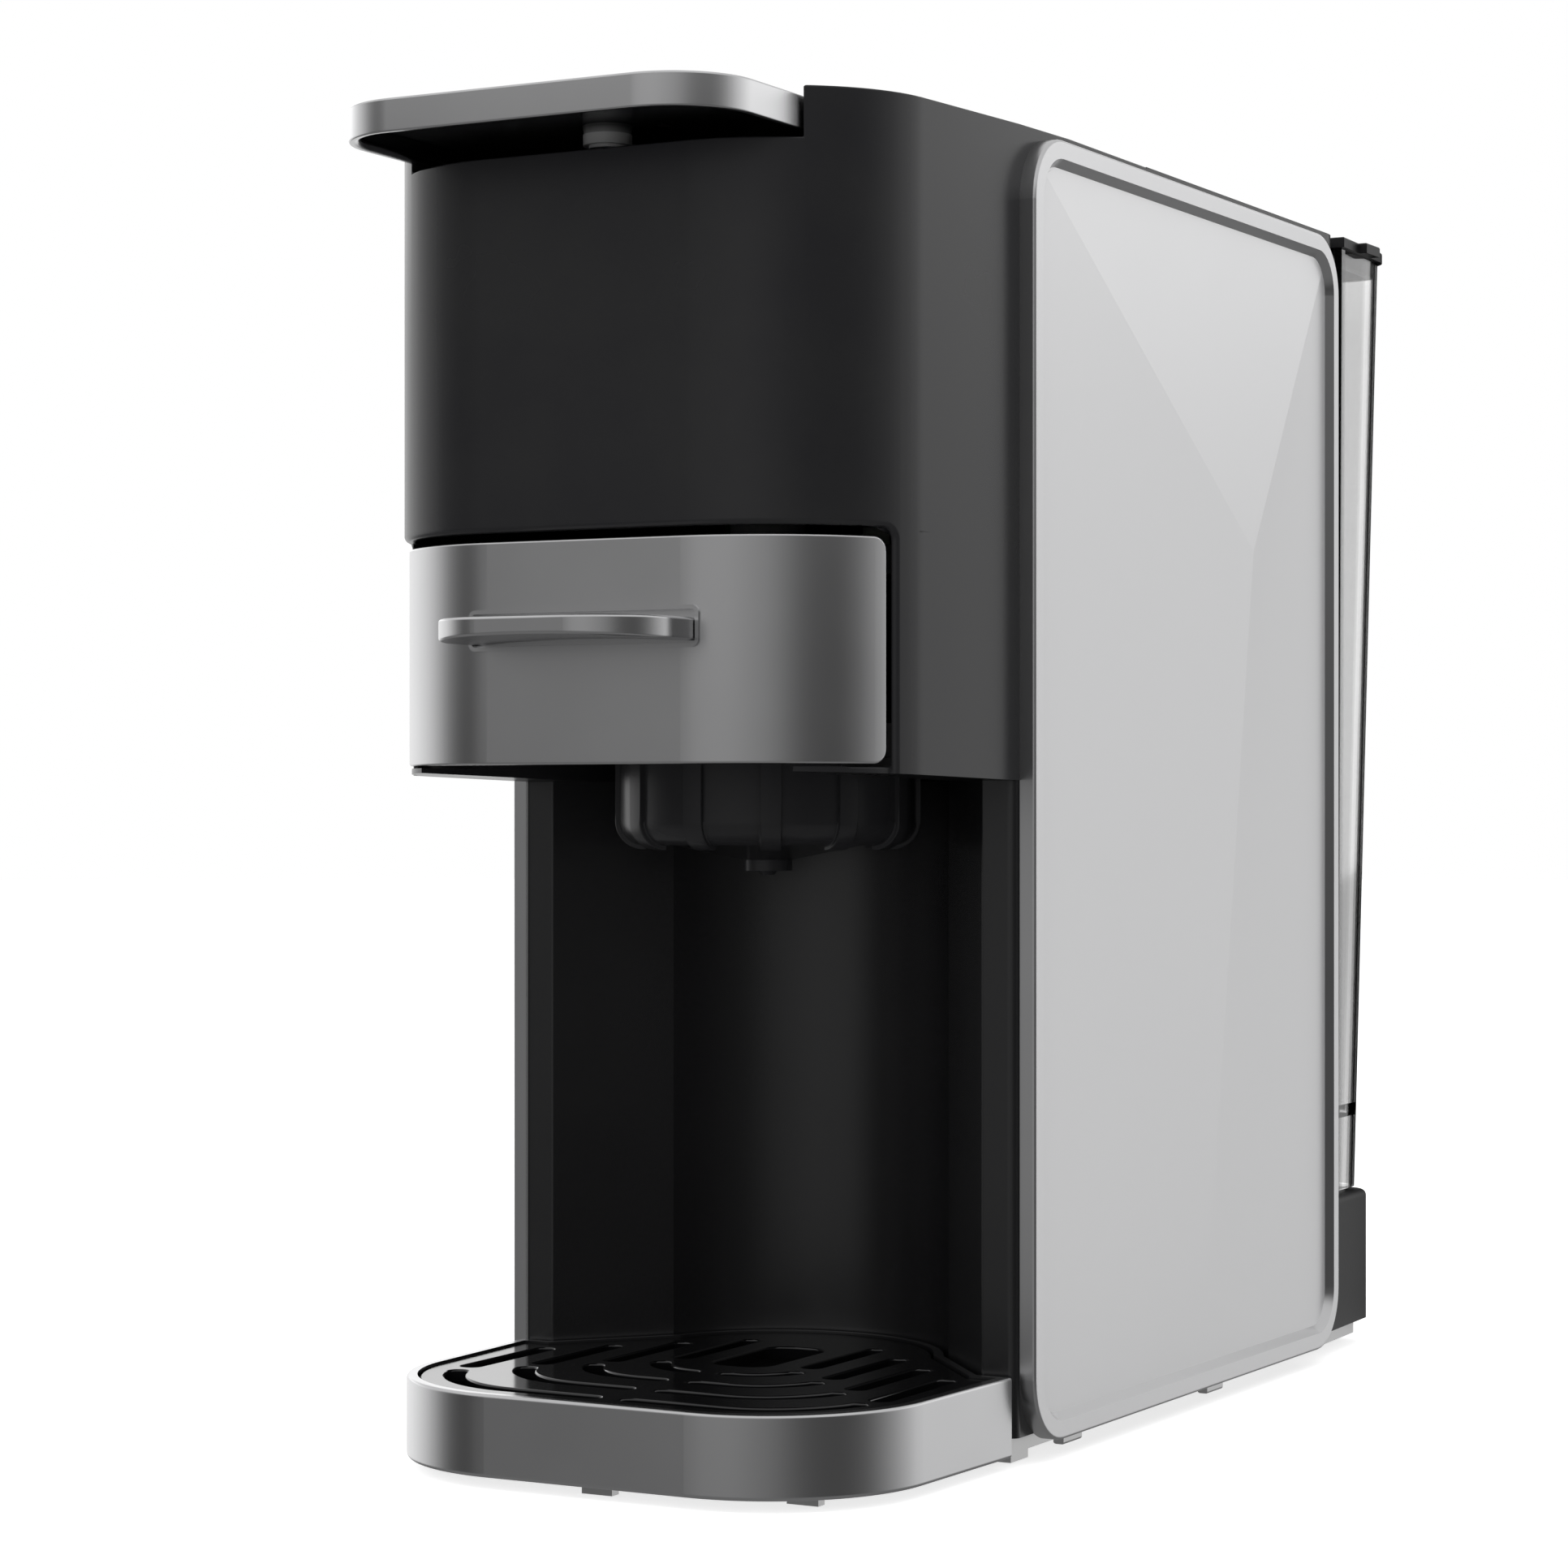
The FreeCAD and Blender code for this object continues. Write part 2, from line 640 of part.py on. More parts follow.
def column_cover():
    sides = (-CASE_HALF_WIDTH, CASE_HALF_WIDTH)
    z = (CASE_BOTTOM, HEAD_BOTTOM)
    inside = CASE_HALF_WIDTH - WALL
    cover = block(sides, (COLUMN_FRONT, CASE_SPLIT), z)
    hollow = block((-inside, inside), (COLUMN_FRONT + WALL, CASE_SPLIT), z)
    cheek_front = COLUMN_FRONT - WALL
    hollow = hollow.cut(raised(bay(-WALL, cheek_front), *z))
    cover = cover.cut(hollow).cut(raised(bay(0.0, cheek_front), *z))
    cover = rounded(cover, COLUMN_ROUND, upright_edge(CASE_HALF_WIDTH, COLUMN_FRONT))
    cover = rounded(cover, BAY_MOUTH_ROUND, upright_edge(BAY_MOUTH, COLUMN_FRONT))
    return cover.fuse(screw_bosses(COLUMN_FRONT, CASE_SPLIT)).removeSplitter()


def head_plan(inset):
    sizes = (HEAD_FRONT, 0.0, CASE_HALF_WIDTH, HEAD_TAPER, HEAD_CORNER)
    return tongue(*sizes, inset=inset, tail=CASE_SPLIT)


def head_outside():
    """Head's outer volume, with its underside and top sloping along the nose."""
    front = HEAD_FRONT
    profile = [(front, HEAD_BOTTOM + HEAD_BOTTOM_RISE), (0.0, HEAD_BOTTOM), (CASE_SPLIT, HEAD_BOTTOM)]
    profile += [(CASE_SPLIT, CASE_TOP), (NOSE_START, CASE_TOP), (front, CASE_TOP - HEAD_TOP_DROP)]
    points = [vec(-REACH / 2, y, z) for y, z in profile]
    side_view = Part.Face(Part.makePolygon(points + points[:1])).extrude(ALONG_X * REACH)
    return raised(head_plan(0.0), 0.0, REACH).common(side_view)


def lever_channel(margin, bottom):
    """Space for the lever in the head, open to the front, with the lever's own taper."""
    wide = LEVER_HALF_WIDTH + SWING_GAP + margin
    narrow = wide - REACH * math.tan(math.radians(LEVER_TAPER))
    right = [vec(wide, CASE_SPLIT), vec(wide, 0.0), vec(narrow, -REACH)]
    outline = right + [vec(-point.x, point.y) for point in reversed(right)]
    return raised(Part.Face(Part.makePolygon(outline + outline[:1])), bottom, REACH)


def outside_edge(edge):
    """Test for edges whose ends lie on the head's outline."""
    outline = head_plan(0.0).OuterWire
    ends = [Part.Vertex(point.X, point.Y, 0.0) for point in edge.Vertexes]
    return all(outline.distToShape(end)[0] < PIN_GAP for end in ends)


def frame_edge(edge):
    """Test for the outside edge of the drawer's opening, over the drawer and round its upper corners."""
    box = edge.BoundBox
    above = box.ZMin > HEAD_SILL - FRAME_CORNER - SEAT_GAP
    return above and box.ZMax < HEAD_SILL + SEAT_GAP and outside_edge(edge)


def drawer_opening():
    """Space cut from the head's front for the drawer, round at its upper rear corner."""
    opening = block((-REACH, REACH), (-REACH, CHEEK_FRONT), (LIP_TOP, HEAD_SILL))
    at_top = level_edge(HEAD_SILL)
    return rounded(opening, FRAME_CORNER, lambda e: at_top(e) and e.BoundBox.YMin > CHEEK_FRONT - SEAT_GAP)


def head_shell():
    shell = head_outside()
    inside = raised(head_plan(WALL), HEAD_FLOOR, CASE_TOP - HEAD_TOP_DROP - WALL)
    shell = shell.cut(inside.cut(lever_channel(WALL, DECK_TOP - WALL)))
    over_deck = raised(head_plan(WALL), DECK_TOP, REACH)
    shell = shell.cut(lever_channel(0.0, DECK_TOP).common(over_deck))
    shell = shell.cut(lever_channel(0.0, NOTCH_BOTTOM))
    shell = shell.cut(drawer_opening())
    lip_edge = block((-REACH, REACH), (-REACH, CHEEK_FRONT), (0.0, LIP_TOP))
    shell = shell.cut(lip_edge.cut(raised(head_plan(LIP_INSET), 0.0, LIP_TOP)))
    slot = (-FLOOR_SLOT_HALF_WIDTH, FLOOR_SLOT_HALF_WIDTH)
    shell = shell.cut(block(slot, (-REACH, FLOOR_SLOT_REAR), (0.0, HEAD_FLOOR + WALL))).removeSplitter()
    shell = rounded(shell, FRAME_ROUND, frame_edge)
    rebate = block((-REACH, REACH), (-REACH, CHEEK_FRONT + FRAME_REBATE), (LIP_TOP, HEAD_SILL))
    shell = shell.cut(rebate.common(raised(head_plan(FRAME_LIP), 0.0, REACH)))
    behind_deck = (DECK_REAR, CASE_SPLIT)
    half_width = LEVER_HALF_WIDTH + SWING_GAP
    shell = shell.cut(block((-half_width, half_width), behind_deck, (HEAD_SILL, REACH)))
    shell = shell.cut(rod(ROD_RADIUS + SWING_GAP, vec(0, BREW_Y, HEAD_SILL), REACH))
    wall_inside = CASE_HALF_WIDTH - WALL
    axle = rod(AXLE_RADIUS + PIN_GAP, vec(-wall_inside, AXLE_Y, AXLE_Z), 2 * wall_inside, ALONG_X)
    return shell.cut(axle).removeSplitter()


def case_plan(inset):
    return tongue(CASE_REAR, CASE_SPLIT, CASE_HALF_WIDTH, 0.0, CASE_REAR_CORNER, inset=inset)


def rear_case():
    case = raised(case_plan(0.0), CASE_BOTTOM, CASE_TOP).cut(raised(case_plan(WALL), 0.0, REACH))
    case = case.fuse(screw_bosses(CASE_SPLIT, CASE_REAR))
    hose = rod(HOSE_RADIUS + SWING_GAP, vec(0, METER_Y, HOSE_LEVEL), REACH, ALONG_Y)
    return case.cut(hose).removeSplitter()


def switch_top():
    """Height of the switches under the buttons, just past the end of their travel."""
    return CASE_TOP - WALL - GUIDE_GAP - BUTTON_COLLAR_DEPTH - BUTTON_STEM - BUTTON_TRAVEL - SWITCH_GAP


def button_board_top():
    return switch_top() - SWITCH_HEIGHT


def top_cover():
    across = (-REACH, REACH)
    plan = case_plan(WALL + SEAT_GAP)
    cover = raised(plan, CASE_TOP - WALL, CASE_TOP)
    apron = block(across, (CASE_SPLIT, CASE_SPLIT + WALL), (CASE_TOP - COVER_APRON, CASE_TOP))
    cover = cover.fuse(apron.common(raised(plan, 0.0, REACH)))
    for x in BUTTON_PLACES.values():
        cover = cover.cut(rod(BUTTON_RADIUS + SLIDE_GAP, vec(x, BUTTON_Y, 0), REACH))
    for side in (-1, 1):
        x = side * (BUTTON_BOARD_HALF_WIDTH - POST_RADIUS)
        foot = button_board_top()
        cover = cover.fuse(rod(POST_RADIUS, vec(x, BUTTON_Y, foot), CASE_TOP - WALL - foot))
    return cover.removeSplitter()


# Lever


def lever_plan(inset, rear):
    sizes = (LEVER_FRONT, 0.0, LEVER_HALF_WIDTH, LEVER_TAPER, LEVER_CORNER)
    return tongue(*sizes, inset=inset, tail=rear)


def lever_cover():
    under = LEVER_TOP - LEVER_SKIN
    cover = raised(lever_plan(0.0, LEVER_REAR), LEVER_BOTTOM, LEVER_TOP)
    cover = rounded(cover, LEVER_ROUND, level_edge(LEVER_TOP))
    cover = cover.cut(raised(lever_plan(LEVER_WALL, LEVER_REAR - LEVER_WALL), LEVER_BOTTOM, under))
    edge = LEVER_HALF_WIDTH - LEVER_WALL
    x = (edge - LUG_WIDTH, edge)
    lug = block(x, (AXLE_Y - LUG_RADIUS, AXLE_Y + LUG_RADIUS), (AXLE_Z, under))
    lug = lug.fuse(rod(LUG_RADIUS, vec(x[0], AXLE_Y, AXLE_Z), LUG_WIDTH, ALONG_X))
    cover = cover.fuse(both_sides(lug))
    bore = rod(AXLE_RADIUS + PIN_GAP, vec(-REACH / 2, AXLE_Y, AXLE_Z), REACH, ALONG_X)
    return cover.cut(bore).removeSplitter()


def lever_liner():
    """Dark inner plate of the lever, with the cam that presses the injector rod."""
    top = LEVER_TOP - LEVER_SKIN
    bottom = top - LINER_THICKNESS
    liner = raised(lever_plan(LEVER_WALL + SEAT_GAP, LINER_REAR), bottom, top)
    cam_bottom = ROD_TOP + SLIDE_GAP
    return liner.fuse(rod(CAM_RADIUS, vec(0, BREW_Y, cam_bottom), bottom - cam_bottom)).removeSplitter()


def lever_stud():
    """Stud under the lever: a neck that flares into the liner, a collar and a small foot."""
    axis = vec(0, STUD_Y)
    neck = LEVER_TOP - LEVER_SKIN - LINER_THICKNESS - STUD_NECK
    collar = neck - STUD_COLLAR
    stud = Part.makeCone(STUD_RADIUS, STUD_FLARE_RADIUS, STUD_NECK, axis + UP * neck, UP)
    stud = stud.fuse(rod(STUD_COLLAR_RADIUS, axis + UP * collar, STUD_COLLAR))
    return stud.fuse(rod(STUD_FOOT_RADIUS, axis + UP * (collar - STUD_FOOT), STUD_FOOT)).removeSplitter()


def lever_axle():
    half_length = LEVER_HALF_WIDTH + SWING_GAP + WALL
    return rod(AXLE_RADIUS, vec(-half_length, AXLE_Y, AXLE_Z), 2 * half_length, ALONG_X)


# Capsule drawer


def drawer_plan(inset):
    sizes = (DRAWER_FRONT, 0.0, DRAWER_HALF_WIDTH, HEAD_TAPER, HEAD_CORNER)
    return tongue(*sizes, inset=inset, tail=CARRIAGE_REAR)


def pocket(inset, front, rear):
    """Block with round corners, the shape of the handle's pocket, between two stations."""
    low = (-POCKET_HALF_WIDTH + inset, POCKET_BOTTOM + inset)
    high = (POCKET_HALF_WIDTH - inset, POCKET_TOP - inset)
    wire = rounded_rectangle(low, high, POCKET_CORNER - inset, lambda x, z: vec(x, front, z))
    return Part.Face(wire).extrude(ALONG_Y * (rear - front))


def drawer_front():
    low = (-REACH, DRAWER_BOTTOM)
    high = (DRAWER_END, DRAWER_TOP)
    side_view = rounded_rectangle(low, high, DRAWER_END_CORNER, lambda y, z: vec(-REACH / 2, y, z))
    skin = raised(drawer_plan(0.0), 0.0, REACH).common(Part.Face(side_view).extrude(ALONG_X * REACH))
    skin = rounded(skin, DRAWER_ROUND, drawer_outer_edge)
    skin = skin.cut(raised(drawer_plan(DRAWER_WALL), 0.0, REACH))
    middle = DRAWER_FRONT + POCKET_DEPTH
    skin = skin.fuse(pocket(-POCKET_BEAD, DRAWER_FRONT - POCKET_BEAD_RISE, middle))
    return skin.cut(pocket(0.0, DRAWER_FRONT - POCKET_DEPTH, middle)).removeSplitter()


def drawer_outer_edge(edge):
    """Test for the long upper and lower edges round the drawer's front."""
    flat = level_edge(DRAWER_TOP)(edge) or level_edge(DRAWER_BOTTOM)(edge)
    return flat and edge.BoundBox.YMin < DRAWER_END - DRAWER_END_CORNER - SEAT_GAP


def drawer_handle():
    """Shelf to pull the drawer by, hollowed underneath for the fingers."""
    root = DRAWER_FRONT + POCKET_DEPTH
    plan = tongue(HANDLE_FRONT, root, HANDLE_HALF_WIDTH, 0.0, HANDLE_CORNER)
    slab = raised(plan, HANDLE_TOP - HANDLE_HALF_WIDTH, HANDLE_TOP)
    rise = HANDLE_END - HANDLE_MIDDLE
    radius = (HANDLE_HALF_WIDTH ** 2 + rise ** 2) / (2 * rise)
    under = vec(0, -REACH / 2, HANDLE_TOP - HANDLE_MIDDLE - radius)
    slab = slab.cut(rod(radius, under, REACH, ALONG_Y))
    return rounded(slab, HANDLE_ROUND, lambda edge: edge.BoundBox.YMax < root - SEAT_GAP)


def drawer_carriage():
    half_width = CARRIAGE_HALF_WIDTH
    y = (-REACH, CARRIAGE_REAR)
    plate = block((-half_width, half_width), y, (CARRIAGE_BOTTOM, CARRIAGE_TOP))
    plate = plate.common(raised(drawer_plan(DRAWER_WALL + SLIDE_GAP), 0.0, REACH))
    plate = plate.cut(rod(HOLDER_RADIUS + RIB_RISE + SLIDE_GAP, vec(0, BREW_Y, 0), REACH))
    front = DRAWER_FRONT + DRAWER_WALL
    x = (-FLANGE_HALF_WIDTH, FLANGE_HALF_WIDTH)
    flange = block(x, (front, front + WALL), (CARRIAGE_BOTTOM, FLANGE_TOP))
    return plate.fuse(flange).removeSplitter()


def drawer_rail_right():
    """Channel on the head's floor that the carriage's edge runs in."""
    inner = FLOOR_SLOT_HALF_WIDTH + SLIDE_GAP
    web = CARRIAGE_HALF_WIDTH + SLIDE_GAP
    top = CARRIAGE_TOP + SLIDE_GAP + RAIL_WALL
    y = (RAIL_FRONT, CASE_SPLIT)
    rail = block((inner, web + RAIL_WALL), y, (HEAD_FLOOR, top))
    rail = rail.common(raised(head_plan(WALL + SEAT_GAP), HEAD_FLOOR, REACH))
    return rail.cut(block((inner, web), y, (CARRIAGE_BOTTOM - SLIDE_GAP, CARRIAGE_TOP + SLIDE_GAP)))


def drawer_rail_left():
    return mirrored(drawer_rail_right())


def holder_body(rise, top):
    """Holder's outside up to a height, round at its lower edge and grown by a rise all over."""
    bottom = HOLDER_BOTTOM - rise
    body = rod(HOLDER_RADIUS + rise, vec(0, BREW_Y, bottom), top - bottom)
    return rounded(body, HOLDER_ROUND + rise, level_edge(bottom))


def capsule_holder():
    """Ribbed bowl that hangs in the carriage by its flange."""
    core = holder_body(0.0, CARRIAGE_TOP)
    ribs = holder_body(RIB_RISE, CARRIAGE_TOP)
    along = (-HOLDER_FLANGE_RADIUS, -RIB_START)
    spoke = block((-RIB_WIDTH / 2, RIB_WIDTH / 2), along, (0.0, REACH))
    spoke.translate(vec(0, BREW_Y))
    spokes = []
    for step in range(RIB_COUNT):
        turned = spoke.copy()
        turned.rotate(vec(0, BREW_Y), UP, step * 360.0 / RIB_COUNT)
        spokes.append(ribs.common(turned))
    axis = vec(0, BREW_Y)
    holder = core.fuse(spokes)
    holder = holder.fuse(rod(HOLDER_FLANGE_RADIUS, axis + UP * CARRIAGE_TOP, HOLDER_FLANGE))
    cone_height = HOLDER_BOTTOM - SPOUT_SEAT
    holder = holder.fuse(Part.makeCone(SPOUT_RADIUS, CONE_RADIUS, cone_height, axis + UP * SPOUT_SEAT, UP))
    holder = holder.cut(holder_body(-HOLDER_WALL, HOLDER_TOP))
    return holder.cut(rod(SPOUT_STEM_RADIUS + PIN_GAP, axis, REACH)).removeSplitter()


def capsule_adapter():
    """Plain cup in the holder that takes the capsule."""
    axis = vec(0, BREW_Y)
    adapter = holder_body(-HOLDER_WALL - PIN_GAP, HOLDER_TOP)
    adapter = adapter.cut(rod(HOLDER_BORE, axis + UP * HOLDER_FLOOR, REACH))
    return adapter.cut(rod(SPOUT_STEM_RADIUS + PIN_GAP, axis, REACH))


def coffee_spout():
    axis = vec(0, BREW_Y)
    bottom = SPOUT_SEAT - SPOUT_FLANGE
    spout = rod(SPOUT_RADIUS, axis + UP * bottom, SPOUT_FLANGE)
    spout = spout.fuse(rod(SPOUT_STEM_RADIUS, axis + UP * SPOUT_SEAT, HOLDER_FLOOR - SPOUT_SEAT))
    end = axis + UP * (bottom - SPOUT_TIP)
    tip = Part.makeCone(SPOUT_BORE + SEAT_GAP, SPOUT_TIP_RADIUS, SPOUT_TIP, end, UP)
    return spout.fuse(tip).cut(rod(SPOUT_BORE, axis, REACH)).removeSplitter()


def injector_piston():
    axis = vec(0, BREW_Y)
    bottom = HOLDER_TOP + SLIDE_GAP
    piston = rod(INJECTOR_RADIUS, axis + UP * bottom, INJECTOR_THICKNESS)
    piston = piston.fuse(rod(ROD_RADIUS, axis + UP * bottom, ROD_TOP - bottom))
    return piston.cut(rod(SPRAY_RADIUS + PIN_GAP, axis + UP * bottom, SPRAY_THICKNESS)).removeSplitter()


def spray_plate():
    axis = vec(0, BREW_Y)
    plate = rod(SPRAY_RADIUS, axis + UP * (HOLDER_TOP + SLIDE_GAP), SPRAY_THICKNESS)
    for step in range(SPRAY_HOLES):
        angle = 2 * math.pi * step / SPRAY_HOLES
        place = axis + vec(math.cos(angle), math.sin(angle)) * SPRAY_HOLE_CIRCLE
        plate = plate.cut(rod(SPRAY_HOLE_RADIUS, place, REACH))
    return plate


def brew_frame():
    """Plate between the head's side walls that guides the injector rod."""
    axis = vec(0, BREW_Y)
    top = FRAME_BOTTOM + FRAME_THICKNESS
    frame = block((-REACH, REACH), (FRAME_FRONT, FRAME_REAR), (FRAME_BOTTOM, top))
    frame = frame.common(raised(head_plan(WALL), 0.0, REACH))
    bore = ROD_RADIUS + GUIDE_GAP
    frame = frame.fuse(rod(bore + GUIDE_WALL, axis + UP * GUIDE_BOTTOM, GUIDE_TOP - GUIDE_BOTTOM))
    return frame.cut(rod(bore, axis, REACH)).removeSplitter()


# Drip tray


def tray_front_plan(inset, back_inset=0.0):
    sizes = (TRAY_FRONT, TRAY_REAR, TRAY_HALF_WIDTH, TRAY_TAPER, TRAY_CORNER)
    return tongue(*sizes, inset=inset, back_inset=back_inset)


def tray_solid(inset, bottom, tongue_bottom, top):
    """Tray's plan raised to a solid: the front bowl and the tongue that reaches into the cup bay."""
    front = raised(tray_front_plan(inset, inset), bottom, top)
    tongue_front = TRAY_REAR - inset - TONGUE_OVERLAP
    return front.fuse(raised(bay(TONGUE_GAP + inset, tongue_front), tongue_bottom, top)).removeSplitter()


def grille_seat():
    return GRILLE_TOP - GRILLE_THICKNESS


def drip_tray():
    tongue_bottom = CASE_BOTTOM + SWING_GAP
    tray = tray_solid(0.0, TRAY_BOTTOM, tongue_bottom, TRAY_TOP)
    tray = rounded(tray, TRAY_FOOT_ROUND, tray_lower_edge)
    tray = rounded(tray, TRAY_ROUND, level_edge(TRAY_TOP))
    tray = tray.cut(tray_solid(TRAY_WALL, grille_seat(), grille_seat(), REACH))
    deep = TRAY_WALL + TRAY_LEDGE
    floor = TRAY_BOTTOM + TRAY_WALL
    return tray.cut(tray_solid(deep, floor, tongue_bottom + TRAY_WALL, REACH)).removeSplitter()


def tray_lower_edge(edge):
    """Test for the bowl's lower outside edge, without its rear side."""
    box = edge.BoundBox
    return box.ZMax < TRAY_BOTTOM + SEAT_GAP and box.YMin < TRAY_REAR - SEAT_GAP


def tray_feet():
    places = [(-TRAY_FOOT_SIDE, TRAY_FOOT_ROW), (0.0, TRAY_FOOT_FRONT), (TRAY_FOOT_SIDE, TRAY_FOOT_ROW)]
    feet = []
    for x, y in places:
        across = (x - TRAY_FOOT_WIDTH / 2, x + TRAY_FOOT_WIDTH / 2)
        along = (y - TRAY_FOOT_LENGTH / 2, y + TRAY_FOOT_LENGTH / 2)
        feet.append(block(across, along, (0.0, TRAY_BOTTOM)))
    return Part.makeCompound(feet)


def straight_slot(x, y):
    """Slot with round ends, along Y."""
    low = (x - SLOT_WIDTH / 2, y - SLOT_LENGTH / 2)
    high = (x + SLOT_WIDTH / 2, y + SLOT_LENGTH / 2)
    return Part.Face(rounded_rectangle(low, high, SLOT_WIDTH / 2 - SEAT_GAP, vec))


def curved_slot(step):
    """One of the nested slots that follow the tray's front corner, with round ends."""
    half = CURVED_WIDTH / 2
    radius = CURVED_RADIUS - CURVED_RADIUS_STEP * step
    y = CURVED_FRONT_Y + CURVED_STEP_Y * step
    bend_x = CURVED_BEND_X - CURVED_BEND_STEP * step
    sweep = math.radians(CURVED_ANGLE)
    turns = (0.0, sweep / 2, sweep)

    def on_bend(angle, offset):
        reach = radius + offset
        return vec(bend_x + reach * math.sin(angle), y + radius - reach * math.cos(angle))

    tip = on_bend(sweep, 0.0) + vec(math.cos(sweep), math.sin(sweep)) * half
    start = [vec(CURVED_START_X, y + half), vec(CURVED_START_X - half, y), vec(CURVED_START_X, y - half)]
    edges = [arc(*start), line(start[2], on_bend(0.0, half))]
    edges.append(arc(*[on_bend(angle, half) for angle in turns]))
    edges.append(arc(on_bend(sweep, half), tip, on_bend(sweep, -half)))
    edges.append(arc(*[on_bend(angle, -half) for angle in reversed(turns)]))
    edges.append(line(on_bend(0.0, -half), start[0]))
    return Part.Face(Part.Wire(edges))


def drip_grille():
    grille = tray_solid(TRAY_WALL + SLIDE_GAP, grille_seat(), grille_seat(), GRILLE_TOP)
    for step in range(SLOTS_PER_SIDE):
        straight = straight_slot(SLOT_FIRST_X + SLOT_PITCH * step, SLOT_FIRST_Y - SLOT_STEP_Y * step)
        for plan in (straight, curved_slot(step)):
            grille = grille.cut(both_sides(raised(plan, 0.0, TRAY_TOP)))
    low = (-DRAIN_HALF_WIDTH, DRAIN_FRONT)
    high = (DRAIN_HALF_WIDTH, DRAIN_REAR)
    drain = Part.Face(rounded_rectangle(low, high, DRAIN_CORNER, vec))
    grille = grille.cut(raised(drain, 0.0, TRAY_TOP)).removeSplitter()
    return rounded(grille, GRILLE_ROUND, level_edge(GRILLE_TOP))


# Water tank and its seat


def tank_seat():
    sizes = (SEAT_REAR, SEAT_FRONT, CASE_HALF_WIDTH, SEAT_TAPER, SEAT_CORNER)
    seat = raised(tongue(*sizes), CASE_BOTTOM, SEAT_TOP)
    seat = rounded(seat, SEAT_ROUND, seat_upper_edge)
    under = SEAT_TOP - WALL
    seat = seat.cut(raised(tongue(*sizes, inset=WALL), CASE_BOTTOM, under))
    seat = seat.cut(raised(case_plan(-SEAT_GAP), 0.0, REACH))
    axis = vec(0, VALVE_Y)
    bore = SPIGOT_RADIUS + SLIDE_GAP
    seat = seat.fuse(rod(bore + SOCKET_WALL, axis + UP * SOCKET_BOTTOM, under - SOCKET_BOTTOM))
    seat = seat.cut(rod(bore, axis + UP * (SOCKET_BOTTOM + SOCKET_WALL), REACH))
    seat = seat.cut(rod(HOSE_BORE, axis, REACH))
    gland = rod(GLAND_RADIUS + PIN_GAP, vec(GLAND_X, SEAT_REAR - GLAND_DEPTH, GLAND_Z), REACH, ALONG_Y)
    return seat.cut(gland).removeSplitter()


def seat_upper_edge(edge):
    """Test for the seat's upper outside edge, without its front side."""
    return level_edge(SEAT_TOP)(edge) and edge.BoundBox.YMax > SEAT_FRONT + SEAT_GAP


def valve_seal():
    return ring(SEAL_RADIUS, SPIGOT_RADIUS + SLIDE_GAP, vec(0, VALVE_Y, SEAT_TOP), SEAL_THICKNESS)


def mains_gland():
    """Bush in the seat's rear wall where the supply enters."""
    start = vec(GLAND_X, SEAT_REAR - GLAND_DEPTH, GLAND_Z)
    gland = rod(GLAND_RADIUS, start, GLAND_DEPTH, ALONG_Y)
    start = vec(GLAND_X, SEAT_REAR, GLAND_Z)
    gland = gland.fuse(rod(GLAND_FLANGE_RADIUS, start, GLAND_FLANGE, ALONG_Y))
    start = start + ALONG_Y * GLAND_FLANGE
    gland = gland.fuse(Part.makeCone(GLAND_RADIUS, GLAND_TAIL_RADIUS, GLAND_TAIL, start, ALONG_Y))
    return gland.cut(rod(GLAND_BORE, vec(GLAND_X, 0, GLAND_Z), REACH, ALONG_Y)).removeSplitter()


def tank_outline(z, inset):
    """Tank's plan at one height; it deepens and widens a little towards its top."""
    share = (z - TANK_BOTTOM) / (TANK_TOP - TANK_BOTTOM)
    rear = TANK_REAR_BOTTOM + share * (TANK_REAR_TOP - TANK_REAR_BOTTOM)
    half_width = TANK_HALF_WIDTH_BOTTOM + share * (TANK_HALF_WIDTH_TOP - TANK_HALF_WIDTH_BOTTOM)
    sizes = (rear, TANK_FRONT, half_width, TANK_TAPER, TANK_CORNER)
    wire = tongue_wire(*sizes, inset=inset, back_inset=inset)
    wire.translate(UP * z)
    return wire


def tank_volume(bottom, top, inset):
    return Part.makeLoft([tank_outline(bottom, inset), tank_outline(top, inset)], True, True)


def water_tank():
    tank = tank_volume(TANK_BOTTOM, TANK_TOP, 0.0)
    tank = tank.cut(tank_volume(TANK_FLOOR + TANK_FLOOR_THICKNESS, TANK_TOP, TANK_WALL))
    tank = tank.cut(tank_volume(TANK_BOTTOM, TANK_FLOOR, TANK_WALL))
    return tank.cut(rod(VALVE_STEM_RADIUS + PIN_GAP, vec(0, VALVE_Y, TANK_BOTTOM), TANK_TOP))


def tank_valve():
    axis = vec(0, VALVE_Y)
    collar = TANK_FLOOR - VALVE_COLLAR
    stem = TANK_FLOOR_THICKNESS + VALVE_STEM
    valve = rod(VALVE_COLLAR_RADIUS, axis + UP * collar, VALVE_COLLAR)
    valve = valve.fuse(rod(VALVE_STEM_RADIUS, axis + UP * TANK_FLOOR, stem))
    valve = valve.fuse(rod(SPIGOT_RADIUS, axis + UP * SPIGOT_BOTTOM, collar - SPIGOT_BOTTOM))
    return valve.cut(rod(HOSE_BORE, axis, REACH)).removeSplitter()


